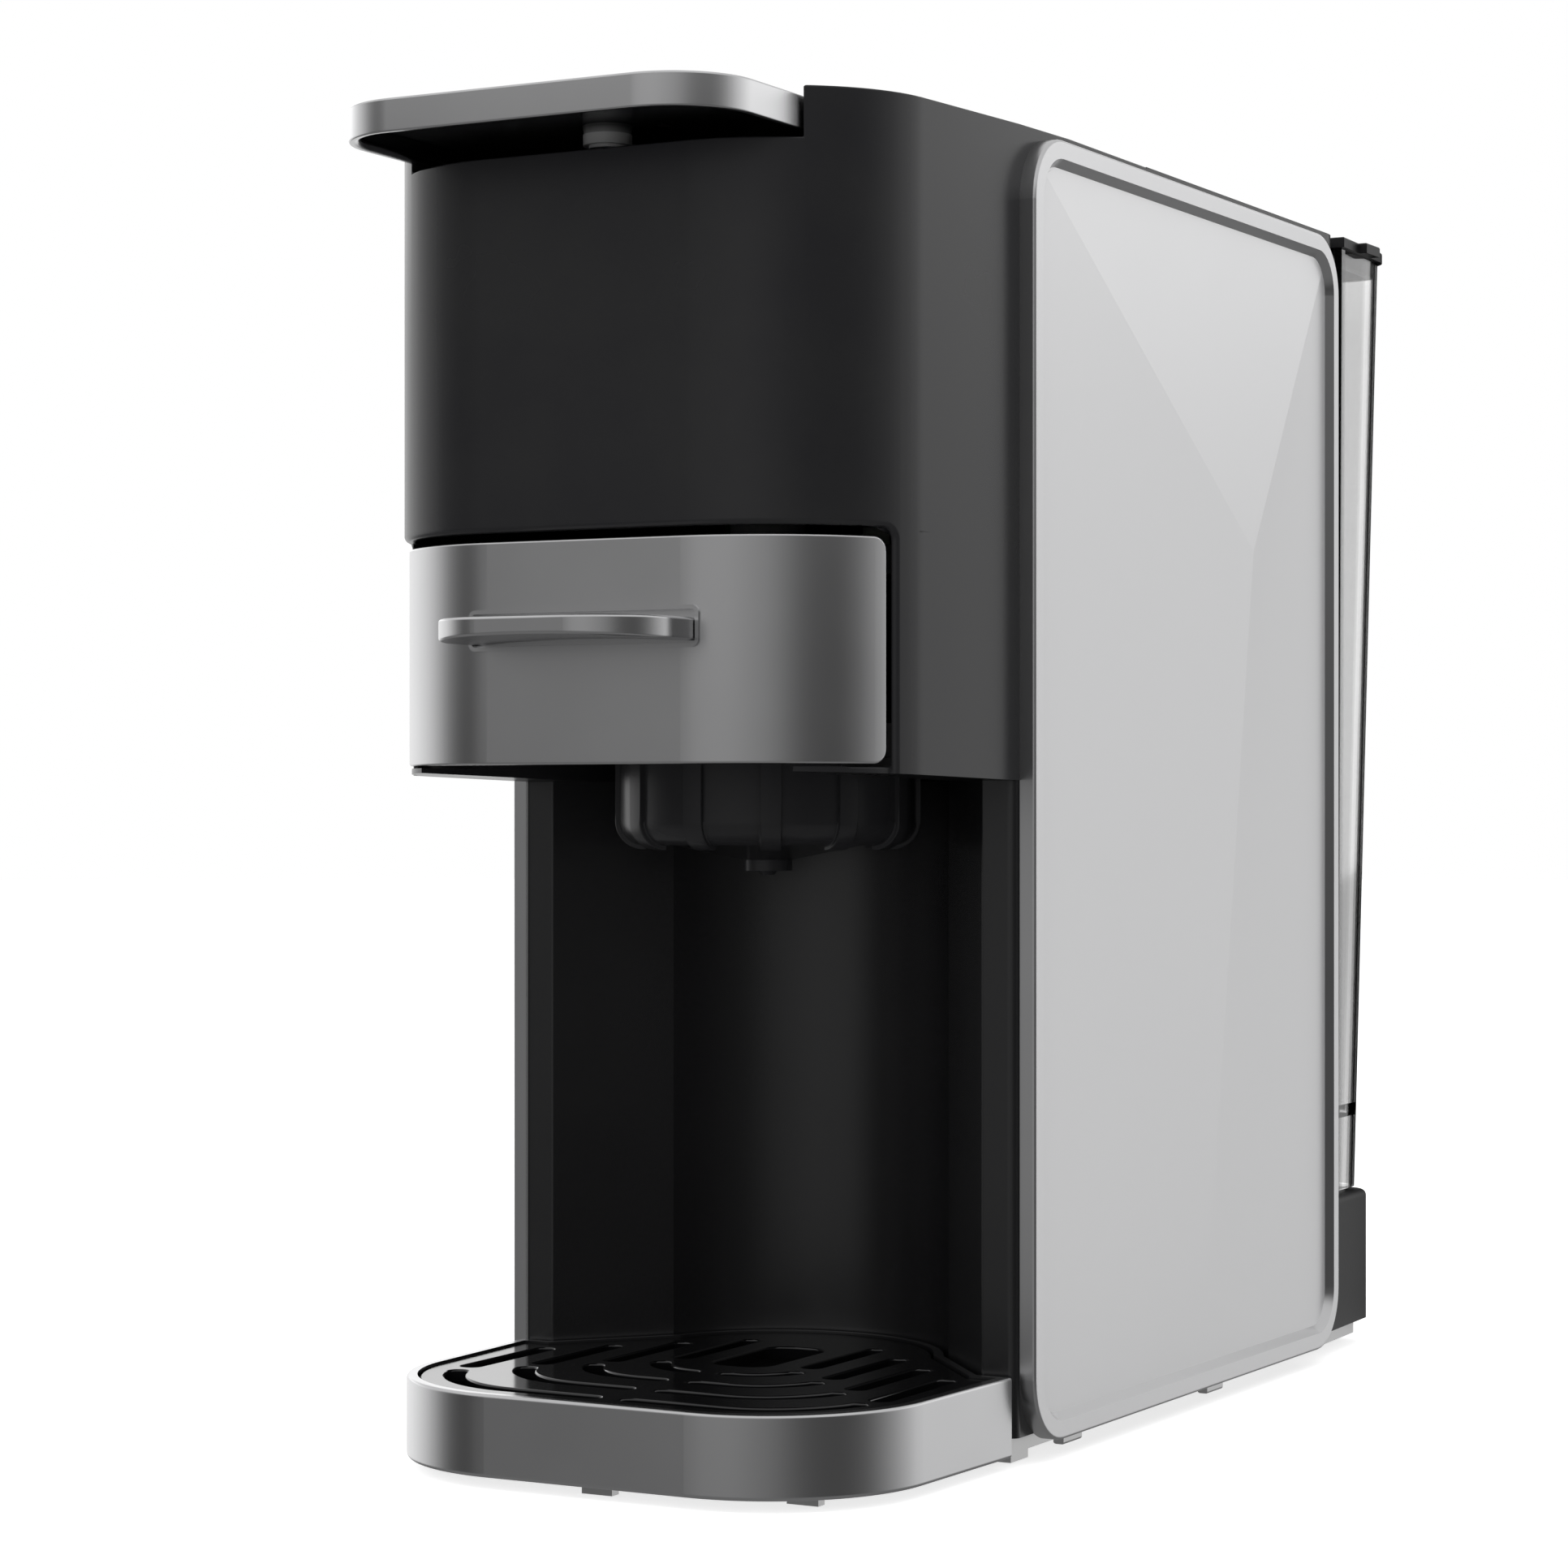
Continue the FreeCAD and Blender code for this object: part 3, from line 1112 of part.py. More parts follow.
def tank_lid():
    top = TANK_TOP + LID_THICKNESS
    plan = tongue(LID_REAR, LID_FRONT, LID_HALF_WIDTH, TANK_TAPER, LID_CORNER)
    lid = raised(plan, TANK_TOP, top)
    tab = block((0.0, TAB_OUT), (TAB_FROM, TAB_FROM + TAB_LENGTH), (TANK_TOP, top))
    lid = rounded(lid.fuse(both_sides(tab)).removeSplitter(), LID_ROUND, level_edge(top))
    edge = TANK_WALL + SLIDE_GAP
    low = TANK_TOP - LID_PLUG
    plug = tank_volume(low, TANK_TOP, edge).cut(tank_volume(low, TANK_TOP, edge + LID_PLUG_WALL))
    return lid.fuse(plug).removeSplitter()


# Buttons and inner works


def push_button(x):
    def build():
        under = CASE_TOP - WALL - GUIDE_GAP
        collar = under - BUTTON_COLLAR_DEPTH
        top = CASE_TOP + BUTTON_RISE
        cap = rod(BUTTON_RADIUS, vec(x, BUTTON_Y, collar), top - collar)
        cap = rounded(cap, BUTTON_ROUND, level_edge(top))
        cap = cap.fuse(rod(BUTTON_RADIUS + BUTTON_COLLAR, vec(x, BUTTON_Y, collar), BUTTON_COLLAR_DEPTH))
        stem = rod(BUTTON_STEM_RADIUS, vec(x, BUTTON_Y, collar - BUTTON_STEM), BUTTON_STEM)
        return cap.fuse(stem).removeSplitter()

    return build


def button_board():
    top = button_board_top()
    half_width = BUTTON_BOARD_HALF_WIDTH
    y = (BUTTON_Y - BUTTON_BOARD_LENGTH / 2, BUTTON_Y + BUTTON_BOARD_LENGTH / 2)
    return block((-half_width, half_width), y, (top - BOARD_THICKNESS, top))


def button_switches():
    top = button_board_top()
    half = SWITCH_SIZE / 2
    y = (BUTTON_Y - half, BUTTON_Y + half)
    z = (top, top + SWITCH_HEIGHT)
    return Part.makeCompound([block((x - half, x + half), y, z) for x in BUTTON_PLACES.values()])


def inner_shelf():
    half_width = CASE_HALF_WIDTH - WALL
    y = (CASE_SPLIT + WALL, SHELF_REAR)
    shelf = block((-half_width, half_width), y, (SHELF_BOTTOM, SHELF_BOTTOM + SHELF_THICKNESS))
    return shelf.cut(rod(HOSE_RADIUS + SLIDE_GAP, vec(PUMP_X, PUMP_Y), REACH))


def pump_axis(z):
    return vec(PUMP_X, PUMP_Y, z)


def pump_mount():
    return rod(PUMP_MOUNT_RADIUS, pump_axis(CASE_BOTTOM), PUMP_MOUNT)


def pump_bottom():
    return CASE_BOTTOM + PUMP_MOUNT


def coil_bottom():
    return pump_bottom() + PUMP_LENGTH


def pump_body():
    return rod(PUMP_RADIUS, pump_axis(pump_bottom()), PUMP_LENGTH)


def pump_top():
    return coil_bottom() + COIL_HEIGHT + PUMP_OUTLET


def pump_coil():
    x = (PUMP_X - COIL_WIDTH / 2, PUMP_X + COIL_WIDTH / 2)
    y = (PUMP_Y - COIL_DEPTH / 2, PUMP_Y + COIL_DEPTH / 2)
    top = coil_bottom() + COIL_HEIGHT
    coil = block(x, y, (coil_bottom(), top))
    return coil.fuse(rod(PUMP_OUTLET_RADIUS, pump_axis(top), PUMP_OUTLET)).removeSplitter()


def flow_meter():
    return rod(METER_RADIUS, vec(0, METER_Y, CASE_BOTTOM), METER_HEIGHT)


def hose_tank():
    """Hose from the tank socket to the flow meter."""
    points = [vec(0, VALVE_Y, SOCKET_BOTTOM), vec(0, VALVE_Y, HOSE_LEVEL)]
    points.append(vec(0, METER_Y + METER_RADIUS + GUIDE_GAP, HOSE_LEVEL))
    return swept_tube(points, HOSE_BEND, HOSE_RADIUS, HOSE_BORE)


def hose_pump():
    """Hose from the flow meter to the pump's side."""
    start = vec(-METER_RADIUS - GUIDE_GAP, METER_Y, HOSE_LEVEL)
    corner = vec(PUMP_X, METER_Y, HOSE_LEVEL)
    end = vec(PUMP_X, PUMP_Y + PUMP_RADIUS + GUIDE_GAP, HOSE_LEVEL)
    return swept_tube([start, corner, end], HOSE_BEND, HOSE_RADIUS, HOSE_BORE)


def hose_heater():
    """Straight hose from the pump up to the heater's underside."""
    bottom = pump_top()
    return ring(HOSE_RADIUS, HOSE_BORE, pump_axis(bottom), SHELF_BOTTOM + SHELF_THICKNESS - bottom)


def hose_brew():
    """Hose from the heater to the injector's guide."""
    start = vec(0, PUMP_Y - HEATER_DEPTH / 2, BREW_HOSE_LEVEL)
    low = vec(0, BREW_HOSE_RISER_Y, BREW_HOSE_LEVEL)
    high = vec(0, BREW_HOSE_RISER_Y, BREW_HOSE_TOP)
    end = vec(0, BREW_Y + ROD_RADIUS + GUIDE_GAP + GUIDE_WALL + GUIDE_GAP, BREW_HOSE_TOP)
    return swept_tube([start, low, high, end], HOSE_BEND, HOSE_RADIUS, HOSE_BORE)


def heater():
    bottom = SHELF_BOTTOM + SHELF_THICKNESS
    x = (HEATER_LEFT, HEATER_LEFT + HEATER_WIDTH)
    z = (bottom, bottom + HEATER_HEIGHT)
    y = (PUMP_Y - HEATER_DEPTH / 2, PUMP_Y + HEATER_DEPTH / 2)
    body = block(x, y, z)
    pitch = HEATER_WIDTH / HEATER_FIN_COUNT
    for step in range(HEATER_FIN_COUNT):
        left = x[0] + pitch * step + (pitch - HEATER_FIN) / 2
        body = body.cut(block((left, left + HEATER_FIN), (y[1] - HEATER_FIN, y[1]), z))
    return body


def control_board():
    bottom = SHELF_BOTTOM + SHELF_THICKNESS
    x = (BOARD_X, BOARD_X + BOARD_THICKNESS)
    return block(x, (BOARD_FRONT, BOARD_FRONT + BOARD_LENGTH), (bottom, bottom + BOARD_HEIGHT))


def board_parts():
    """Parts on the control board, standing out towards the machine's middle."""
    corner = vec(BOARD_X + BOARD_THICKNESS, BOARD_FRONT, SHELF_BOTTOM + SHELF_THICKNESS)
    parts = []
    for front, bottom, length, height, rise in BOARD_BLOCKS.values():
        y = (corner.y + front, corner.y + front + length)
        z = (corner.z + bottom, corner.z + bottom + height)
        parts.append(block((corner.x, corner.x + rise), y, z))
    for height in CAPACITOR_HEIGHTS:
        place = corner + vec(0, CAPACITOR_Y, height)
        parts.append(rod(CAPACITOR_RADIUS, place, CAPACITOR_RISE, ALONG_X))
    return Part.makeCompound(parts)


PARTS = {
    "base_pan": base_pan,
    "base_feet": base_feet,
    "base_screws": base_screws,
    "column_cover": column_cover,
    "head_shell": head_shell,
    "rear_case": rear_case,
    "top_cover": top_cover,
    "side_panel_left": side_panel_left,
    "side_panel_right": side_panel_right,
    "tank_seat": tank_seat,
    "valve_seal": valve_seal,
    "mains_gland": mains_gland,
    "brew_frame": brew_frame,
    "drawer_rail_left": drawer_rail_left,
    "drawer_rail_right": drawer_rail_right,
    "lever_axle": lever_axle,
    "inner_shelf": inner_shelf,
    "pump_mount": pump_mount,
    "pump_body": pump_body,
    "pump_coil": pump_coil,
    "flow_meter": flow_meter,
    "hose_tank": hose_tank,
    "hose_pump": hose_pump,
    "hose_heater": hose_heater,
    "hose_brew": hose_brew,
    "heater": heater,
    "control_board": control_board,
    "board_parts": board_parts,
    "button_board": button_board,
    "button_switches": button_switches,
    "lever_cover": lever_cover,
    "lever_liner": lever_liner,
    "lever_stud": lever_stud,
    "injector_piston": injector_piston,
    "spray_plate": spray_plate,
    "drawer_front": drawer_front,
    "drawer_handle": drawer_handle,
    "drawer_carriage": drawer_carriage,
    "capsule_holder": capsule_holder,
    "capsule_adapter": capsule_adapter,
    "coffee_spout": coffee_spout,
    "drip_tray": drip_tray,
    "tray_feet": tray_feet,
    "drip_grille": drip_grille,
    "water_tank": water_tank,
    "tank_valve": tank_valve,
    "tank_lid": tank_lid,
}
PARTS.update({name: push_button(x) for name, x in BUTTON_PLACES.items()})

os.makedirs("parts", exist_ok=True)
for name, build in PARTS.items():
    shape = build()
    shape.translate(vec(0, -ORIGIN_Y))
    shape.exportStep(os.path.join("parts", name + ".step"))
    verdict = "valid" if shape.isValid() else "NOT VALID"
    print(name, len(shape.Solids), "solids", round(shape.Volume), "mm3", verdict)
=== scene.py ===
# %% [markdown]
# # A pod coffee machine, dressed for its portrait
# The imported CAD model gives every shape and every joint. Blender adds the finishes, the small
# details that are too fine for the CAD model, a plain studio and the camera. The model comes in as a
# fixed frame, in metres, standing on the floor with its lever and drawer towards -Y.

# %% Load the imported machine
import json
import math

import bpy
from mathutils import Matrix, Vector


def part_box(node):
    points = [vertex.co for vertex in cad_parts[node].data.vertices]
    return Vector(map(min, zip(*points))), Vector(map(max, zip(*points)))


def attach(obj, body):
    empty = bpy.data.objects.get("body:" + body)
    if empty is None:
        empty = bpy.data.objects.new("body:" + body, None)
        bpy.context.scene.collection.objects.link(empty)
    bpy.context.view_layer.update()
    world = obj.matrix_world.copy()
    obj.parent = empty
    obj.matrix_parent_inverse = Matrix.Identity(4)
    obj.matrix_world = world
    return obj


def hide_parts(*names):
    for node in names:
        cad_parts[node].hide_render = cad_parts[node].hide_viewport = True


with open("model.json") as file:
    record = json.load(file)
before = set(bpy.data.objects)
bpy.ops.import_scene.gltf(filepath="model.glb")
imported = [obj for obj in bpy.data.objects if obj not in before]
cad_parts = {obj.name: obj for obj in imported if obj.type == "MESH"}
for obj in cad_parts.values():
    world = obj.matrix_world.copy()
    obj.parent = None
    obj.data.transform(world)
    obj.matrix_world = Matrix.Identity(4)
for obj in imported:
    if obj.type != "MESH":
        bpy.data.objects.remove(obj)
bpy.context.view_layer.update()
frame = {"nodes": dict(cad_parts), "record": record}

MM = 0.001
scene = bpy.context.scene
nodes = frame["nodes"]

# %% [markdown]
# ## Camera
# The photograph was taken level, from the front and to the right, with a long lens. The lens, the
# distance and the height come from a fit of the machine's straight edges. The optical axis lies a
# little under the middle of the picture, which a small upward shift gives.

# %% Camera
PHOTO_SIDE = 1932  # pixels
AXIS_DROP = 22.35  # pixels from the picture's middle down to the optical axis
EYE = Vector((0.39561, -0.78049, 0.1369))
TURN = math.radians(28.636)  # to the left, because the camera stands on the right
LENS, SENSOR = 88.03, 36.0  # millimetres
camera_data = bpy.data.cameras.new("camera")
camera_data.sensor_width = SENSOR
camera_data.lens = LENS
camera_data.shift_y = AXIS_DROP / PHOTO_SIDE
camera = bpy.data.objects.new("camera", camera_data)
camera.location = EYE
camera.rotation_euler = (math.pi / 2, 0.0, TURN)
scene.collection.objects.link(camera)
scene.camera = camera
scene.view_settings.view_transform = "Standard"
print("camera", round(EYE.xy.length, 3), "m from the machine's axis")

# %% [markdown]
# ## Colours and nodes
# Colours are noted as the hex values that a colour picker shows. Blender's sockets want linear light,
# so one function converts them. A second small function adds a node, sets its values and makes its
# links, which keeps each finish below readable as a list of what goes into it.

# %% Colour and node helpers
def linear(hex_colour):
    """Linear RGBA of an sRGB hex value."""
    channels = [int(hex_colour[i:i + 2], 16) / 255 for i in (1, 3, 5)]
    return [c / 12.92 if c <= 0.04045 else ((c + 0.055) / 1.055) ** 2.4 for c in channels] + [1.0]


def add(tree, kind, values=None, links=None, **settings):
    """Adds a node; values go to its sockets by name or number, links name the sockets that feed it."""
    node = tree.nodes.new(kind)
    for name, value in settings.items():
        setattr(node, name, value)
    for socket, value in (values or {}).items():
        node.inputs[socket].default_value = value
    for socket, source in (links or {}).items():
        tree.links.new(source, node.inputs[socket])
    return node


def fill_ramp(node, stops):
    """Sets a colour ramp's stops, each a place from 0 to 1 and a linear colour or grey value."""
    elements = node.color_ramp.elements
    for place, _ in stops[:-2]:
        elements.new(place)
    for element, (place, colour) in zip(elements, stops):
        element.position = place
        element.color = colour if isinstance(colour, list) else [colour, colour, colour, 1.0]


print("mid grey is", [round(c, 3) for c in linear("#808080")[:3]])

# %% [markdown]
# ## Studio
# The machine stands in a white studio: the backdrop and the left are white, and towards the camera the
# room is grey, which gives the dark satin fronts their slow gradients. A dozen cards hung round the
# machine could do that. Painting the room in the world is simpler, and nothing gets in the way of other
# views. The paint goes by compass direction first.

# %% Room by compass direction
ROOM = [  # degrees from straight ahead of the machine, to its right, and the room's brightness there
    (-180, 1.04), (-111, 1.14),  # backdrop and the bright left side
    (-93, 0.98), (-78, 0.64), (-66, 0.24), (-54, 0.08), (-45, 0.08),  # falling off to a dark gap
    (-22, 0.39), (3, 0.40), (30, 0.29),  # grey wall behind the camera
    (49, 0.12), (58, 0.08), (78, 0.07),  # second dark gap
    (94, 0.17), (112, 0.44), (136, 0.84), (146, 0.98), (151, 0.96),  # rising to the bright right side
    (157, 0.88), (163, 0.80), (170, 0.74), (180, 1.04),  # falling off before the backdrop
]
world = bpy.data.worlds.new("studio")
scene.world = world
world.use_nodes = True
sky = world.node_tree
sky.nodes.clear()
direction = add(sky, "ShaderNodeTexCoord").outputs["Generated"]
axes = add(sky, "ShaderNodeSeparateXYZ", links={0: direction}).outputs
forward = add(sky, "ShaderNodeMath", {1: -1.0}, {0: axes["Y"]}, operation="MULTIPLY").outputs[0]
compass = add(sky, "ShaderNodeMath", links={0: axes["X"], 1: forward}, operation="ARCTAN2").outputs[0]
circle = add(sky, "ShaderNodeMapRange", {"From Min": -math.pi, "From Max": math.pi}, {"Value": compass})
room = add(sky, "ShaderNodeValToRGB", links={"Fac": circle.outputs[0]})
fill_ramp(room, [((degrees + 180) / 360, level) for degrees, level in ROOM])
print("room with", len(ROOM), "brightness stops")

# %% [markdown]
# Height changes the paint. Low down the room has more contrast and high up less, a glow stands behind the
# machine above eye level, and a dark ground and a pale ceiling close it off. A height here is the upward
# part of a direction of length 1: level is 0 and straight up is 1.

# %% Room by height
LEVEL_BAND = 0.2  # the contrast changes within this much of level
LOW_CONTRAST, HIGH_CONTRAST = 1.45, 0.75
GLOW_FROM, GLOW_TO, GLOW = 0.12, 0.18, 0.56
GLOW_BACK = 0.4  # backward part of a direction from which the glow is whole
GROUND_FROM, GROUND_TO, GROUND = -0.16, -0.36, (0.2, 0.2, 0.2, 1.0)
CEILING_FROM, CEILING_TO, CEILING = 0.22, 0.42, (0.8, 0.8, 0.8, 1.0)
contrast = add(sky, "ShaderNodeMapRange",
               {"From Min": -LEVEL_BAND, "From Max": LEVEL_BAND,
                "To Min": LOW_CONTRAST, "To Max": HIGH_CONTRAST}, {"Value": axes["Z"]})
walls = add(sky, "ShaderNodeMath", links={0: room.outputs[0], 1: contrast.outputs[0]}, operation="POWER")
glow_height = add(sky, "ShaderNodeMapRange", {"From Min": GLOW_FROM, "From Max": GLOW_TO, "To Max": GLOW},
                  {"Value": axes["Z"]})
behind = add(sky, "ShaderNodeMapRange", {"From Min": 0.0, "From Max": GLOW_BACK}, {"Value": axes["Y"]})
glow = add(sky, "ShaderNodeMath", {2: 1.0}, {0: glow_height.outputs[0], 1: behind.outputs[0]},
           operation="MULTIPLY_ADD")
lit_walls = add(sky, "ShaderNodeMath", links={0: walls.outputs[0], 1: glow.outputs[0]}, operation="MULTIPLY")
down = add(sky, "ShaderNodeMapRange", {"From Min": GROUND_FROM, "From Max": GROUND_TO}, {"Value": axes["Z"]})
with_ground = add(sky, "ShaderNodeMix", {"B": GROUND},
                  {"Factor": down.outputs[0], "A": lit_walls.outputs[0]}, data_type="RGBA")
up = add(sky, "ShaderNodeMapRange", {"From Min": CEILING_FROM, "From Max": CEILING_TO}, {"Value": axes["Z"]})
with_ceiling = add(sky, "ShaderNodeMix", {"B": CEILING},
                   {"Factor": up.outputs[0], "A": with_ground.outputs["Result"]}, data_type="RGBA")
print("glow of", GLOW, "from height", GLOW_FROM, "to", GLOW_TO)

# %% [markdown]
# Rays from the camera see plain white. Mirrored rays, and those through clear plastic, see the painted
# room. All other rays bring an even soft light, at which a colour looks about as it is written.

# %% What each ray sees
SOFT_LIGHT = 0.55
WHITE = (1.0, 1.0, 1.0, 1.0)
ray = add(sky, "ShaderNodeLightPath").outputs
sharp = add(sky, "ShaderNodeMath", links={0: ray["Is Glossy Ray"], 1: ray["Is Transmission Ray"]},
            operation="MAXIMUM").outputs[0]
even = add(sky, "ShaderNodeBackground", {"Color": WHITE, "Strength": SOFT_LIGHT})
painted = add(sky, "ShaderNodeBackground", links={"Color": with_ceiling.outputs["Result"]})
backdrop = add(sky, "ShaderNodeBackground", {"Color": WHITE})
light = add(sky, "ShaderNodeMixShader", links={0: sharp, 1: even.outputs[0], 2: painted.outputs[0]})
seen = add(sky, "ShaderNodeMixShader",
           links={0: ray["Is Camera Ray"], 1: light.outputs[0], 2: backdrop.outputs[0]})
add(sky, "ShaderNodeOutputWorld", links={"Surface": seen.outputs[0]})
print("soft light of", SOFT_LIGHT)

# %% [markdown]
# Three soft lamps, overhead, from the left and from the front, give the shapes their modelling. They light
# matt surfaces only, because the painted room already holds what the shiny ones mirror.

# %% Lamps
LAMPS = {  # place and side in metres, power in watts
    "overhead": (Vector((0.2, -0.3, 2.0)), 2.0, 12.0),
    "from_left": (Vector((-1.6, -0.5, 0.9)), 1.2, 6.0),
    "from_front": (Vector((0.5, -2.0, 0.5)), 1.0, 8.0),
}
AIM = Vector((0.0, 0.0, 0.14))  # the machine's middle
for lamp_name, (lamp_place, side, power) in LAMPS.items():
    lamp_data = bpy.data.lights.new(lamp_name, "AREA")
    lamp_data.size = side
    lamp_data.energy = power
    lamp = bpy.data.objects.new(lamp_name, lamp_data)
    lamp.location = lamp_place
    lamp.rotation_euler = (AIM - lamp_place).to_track_quat("-Z", "Y").to_euler()
    lamp.visible_glossy = False
    scene.collection.objects.link(lamp)
print("lamps", list(LAMPS))

# %% [markdown]
# The floor is a pale sheet. It takes the machine's soft shadow, and a little light of its own for the
# camera alone carries it up to the white of the backdrop without adding light to the machine.

# %% Floor
FLOOR_RADIUS = 6.0
FLOOR_DROP = 0.0002  # keeps the sheet just under the feet
FLOOR_GLOW = 0.7


def blank(name):
    """New material with an empty node tree."""
    material = bpy.data.materials.new(name)
    material.use_nodes = True
    material.node_tree.nodes.clear()
    return material


bpy.ops.object.select_all(action="DESELECT")
bpy.ops.mesh.primitive_circle_add(
    vertices=64, radius=FLOOR_RADIUS, fill_type="NGON", location=(0.0, 0.0, -FLOOR_DROP))
floor = bpy.context.object
floor.name = "floor"
paper = blank("white_paper_sheet")
sheet = paper.node_tree
camera_ray = add(sheet, "ShaderNodeLightPath").outputs["Is Camera Ray"]
shadowed = add(sheet, "ShaderNodeBsdfDiffuse", {"Color": linear("#f4f4f4")})
own_light = add(sheet, "ShaderNodeMath", {1: FLOOR_GLOW}, {0: camera_ray}, operation="MULTIPLY")
shine = add(sheet, "ShaderNodeEmission", links={"Strength": own_light.outputs[0]})
both = add(sheet, "ShaderNodeAddShader", links={0: shadowed.outputs[0], 1: shine.outputs[0]})
add(sheet, "ShaderNodeOutputMaterial", links={"Surface": both.outputs[0]})
floor.data.materials.append(paper)
floor.visible_glossy = False
print("floor", 2 * FLOOR_RADIUS, "m across")

# %% [markdown]
# Clear plastic in front of a white backdrop loses its outline. Photographers give it one with a black flag,
# a narrow card just behind the edge that only the edge mirrors. This one leans with the tank's rear wall
# and shows in reflections alone.

# %% Black flag behind the tank
FLAG_LEFT, FLAG_RIGHT, FLAG_HEIGHT = 35.0, 70.0, 300.0  # millimetres
FLAG_FOOT, FLAG_HEAD = 182.0, 202.0  # how far back its lower and upper edges stand
bpy.ops.object.select_all(action="DESELECT")
bpy.ops.mesh.primitive_plane_add(size=1.0)
flag = bpy.context.object
flag.name = "black_flag"
for point in flag.data.vertices:
    upper = point.co.y > 0
    across = FLAG_RIGHT if point.co.x > 0 else FLAG_LEFT
    back = FLAG_HEAD if upper else FLAG_FOOT
    point.co = Vector((across, back, FLAG_HEIGHT if upper else 0.0)) * MM
velvet = blank("black_velvet_card")
pile = add(velvet.node_tree, "ShaderNodeBsdfDiffuse", {"Color": linear("#080808")})
add(velvet.node_tree, "ShaderNodeOutputMaterial", links={"Surface": pile.outputs[0]})
flag.data.materials.append(velvet)
flag.visible_camera = False
flag.visible_diffuse = False
flag.visible_transmission = False
flag.visible_shadow = False
print("flag", FLAG_RIGHT - FLAG_LEFT, "mm wide")

# %% [markdown]
# ## Finishes
# Nearly every piece is a plastic moulding, so most finishes share one recipe: a shader whose colour
# wanders a little between two close tones, as it does from mould flow and handling, and whose surface
# carries the fine grain of the steel tool. Grain sizes are given in millimetres. What is too fine to be
# seen from a metre away is drawn coarser.

# %% Recipe for a moulded or sprayed surface
PATCH = 25.0  # millimetres over which a tone wanders
TONE_ENDS = (0.35, 0.65)  # noise values at which each tone is pure


def surface(name, tones, grain, depth, roughness, sockets=None):
    """Finish between two tones, with a grain of one size and depth (mm) and a range of roughness."""
    material = blank(name)
    tree = material.node_tree
    spot = add(tree, "ShaderNodeTexCoord").outputs["Object"]
    cloud = add(tree, "ShaderNodeTexNoise", {"Scale": 1 / (PATCH * MM), "Detail": 3.0}, {"Vector": spot})
    tone = add(tree, "ShaderNodeValToRGB", links={"Fac": cloud.outputs["Fac"]})
    fill_ramp(tone, [(end, linear(colour)) for end, colour in zip(TONE_ENDS, tones)])
    rough = add(tree, "ShaderNodeMapRange", {"To Min": roughness[0], "To Max": roughness[1]},
                {"Value": cloud.outputs["Fac"]})
    grit = add(tree, "ShaderNodeTexNoise", {"Scale": 1 / (grain * MM), "Detail": 1.0}, {"Vector": spot})
    relief = add(tree, "ShaderNodeBump", {"Strength": 1.0, "Distance": depth * MM},
                 {"Height": grit.outputs["Fac"]})
    shader = add(tree, "ShaderNodeBsdfPrincipled", sockets,
                 {"Base Color": tone.outputs[0], "Roughness": rough.outputs[0],
                  "Normal": relief.outputs[0]})
    add(tree, "ShaderNodeOutputMaterial", links={"Surface": shader.outputs[0]})
    return material


print("tones wander over", PATCH, "mm")

# %% [markdown]
# The head, the rear case and the top cover are ABS, moulded black in a finely spark-eroded tool. The eye
# sees near-black with a soft broad sheen that follows every curve. The tank's lid is duller, and the tank's
# seat is a dark grey from a coarser tool. The head's grain is about 0.1 mm; it is drawn at 0.5 mm.

# %% Black ABS
FINISHES = {}
FINISHES["black"] = surface(
    "black_abs_fine_grain", ("#1f1f21", "#222223"), grain=0.5, depth=0.006, roughness=(0.24, 0.29),
    sockets={"IOR": 1.53, "Specular IOR Level": 0.25})
FINISHES["matt_black"] = surface(
    "black_abs_matt_grain", ("#1a1a1b", "#1d1d1e"), grain=0.6, depth=0.01, roughness=(0.36, 0.42),
    sockets={"IOR": 1.53, "Specular IOR Level": 0.18})
FINISHES["dark_grey"] = surface(
    "dark_grey_abs_grain", ("#262627", "#2a2a2b"), grain=0.7, depth=0.02, roughness=(0.48, 0.56),
    sockets={"IOR": 1.53, "Specular IOR Level": 0.35})
print("mouldings:", [finish.name for finish in FINISHES.values()])

# %% [markdown]
# The side panels are ABS sprayed with silver lacquer: aluminium flakes under a satin clear coat. The flakes
# lie flat, so the panel mirrors the room softly and each facet takes one even tone. Lever, drawer, tray
# and buttons have a slightly glossier coat, and mirror the room from white to charcoal round their corners.
# The base pan and the feet are a shade darker and duller. The stud under the lever is bare zinc.

# %% Metallic lacquers
FINISHES["silver"] = surface(
    "silver_lacquer", ("#c9c9ca", "#cbcbcc"), grain=0.45, depth=0.001, roughness=(0.27, 0.30),
    sockets={"Metallic": 1.0})
FINISHES["pewter"] = surface(
    "pewter_lacquer", ("#cacacb", "#cdcdce"), grain=0.45, depth=0.002, roughness=(0.24, 0.27),
    sockets={"Metallic": 1.0})
FINISHES["light_grey"] = surface(
    "light_grey_lacquer", ("#c2c2c2", "#c5c5c5"), grain=0.45, depth=0.002, roughness=(0.28, 0.32),
    sockets={"Metallic": 1.0})
FINISHES["satin_metal"] = surface(
    "turned_zinc_satin", ("#b0b0b0", "#b6b6b6"), grain=0.4, depth=0.003, roughness=(0.38, 0.44),
    sockets={"Metallic": 0.4, "IOR": 1.5})
print("lacquers:", FINISHES["silver"].name, FINISHES["pewter"].name, FINISHES["light_grey"].name)

# %% [markdown]
# On the panels' broad facets, which look almost straight out to the side, the metal is turned partly off and
# the colour painted lighter. This is a painted lift of the shade, so the facets never get as dark as what
# they mirror. The steep rims keep the coat's plain mirror. The way a face looks tells the two apart.

# %% Facets with painted light
# Painted lift: the side-looking facets lose this share of their metal and take a lighter colour.
FACET_PAINTED_LIFT = 0.45  # share of the light that the flakes scatter
FACET_LOOK = 0.95  # sideways part of a facet's normal, at the least


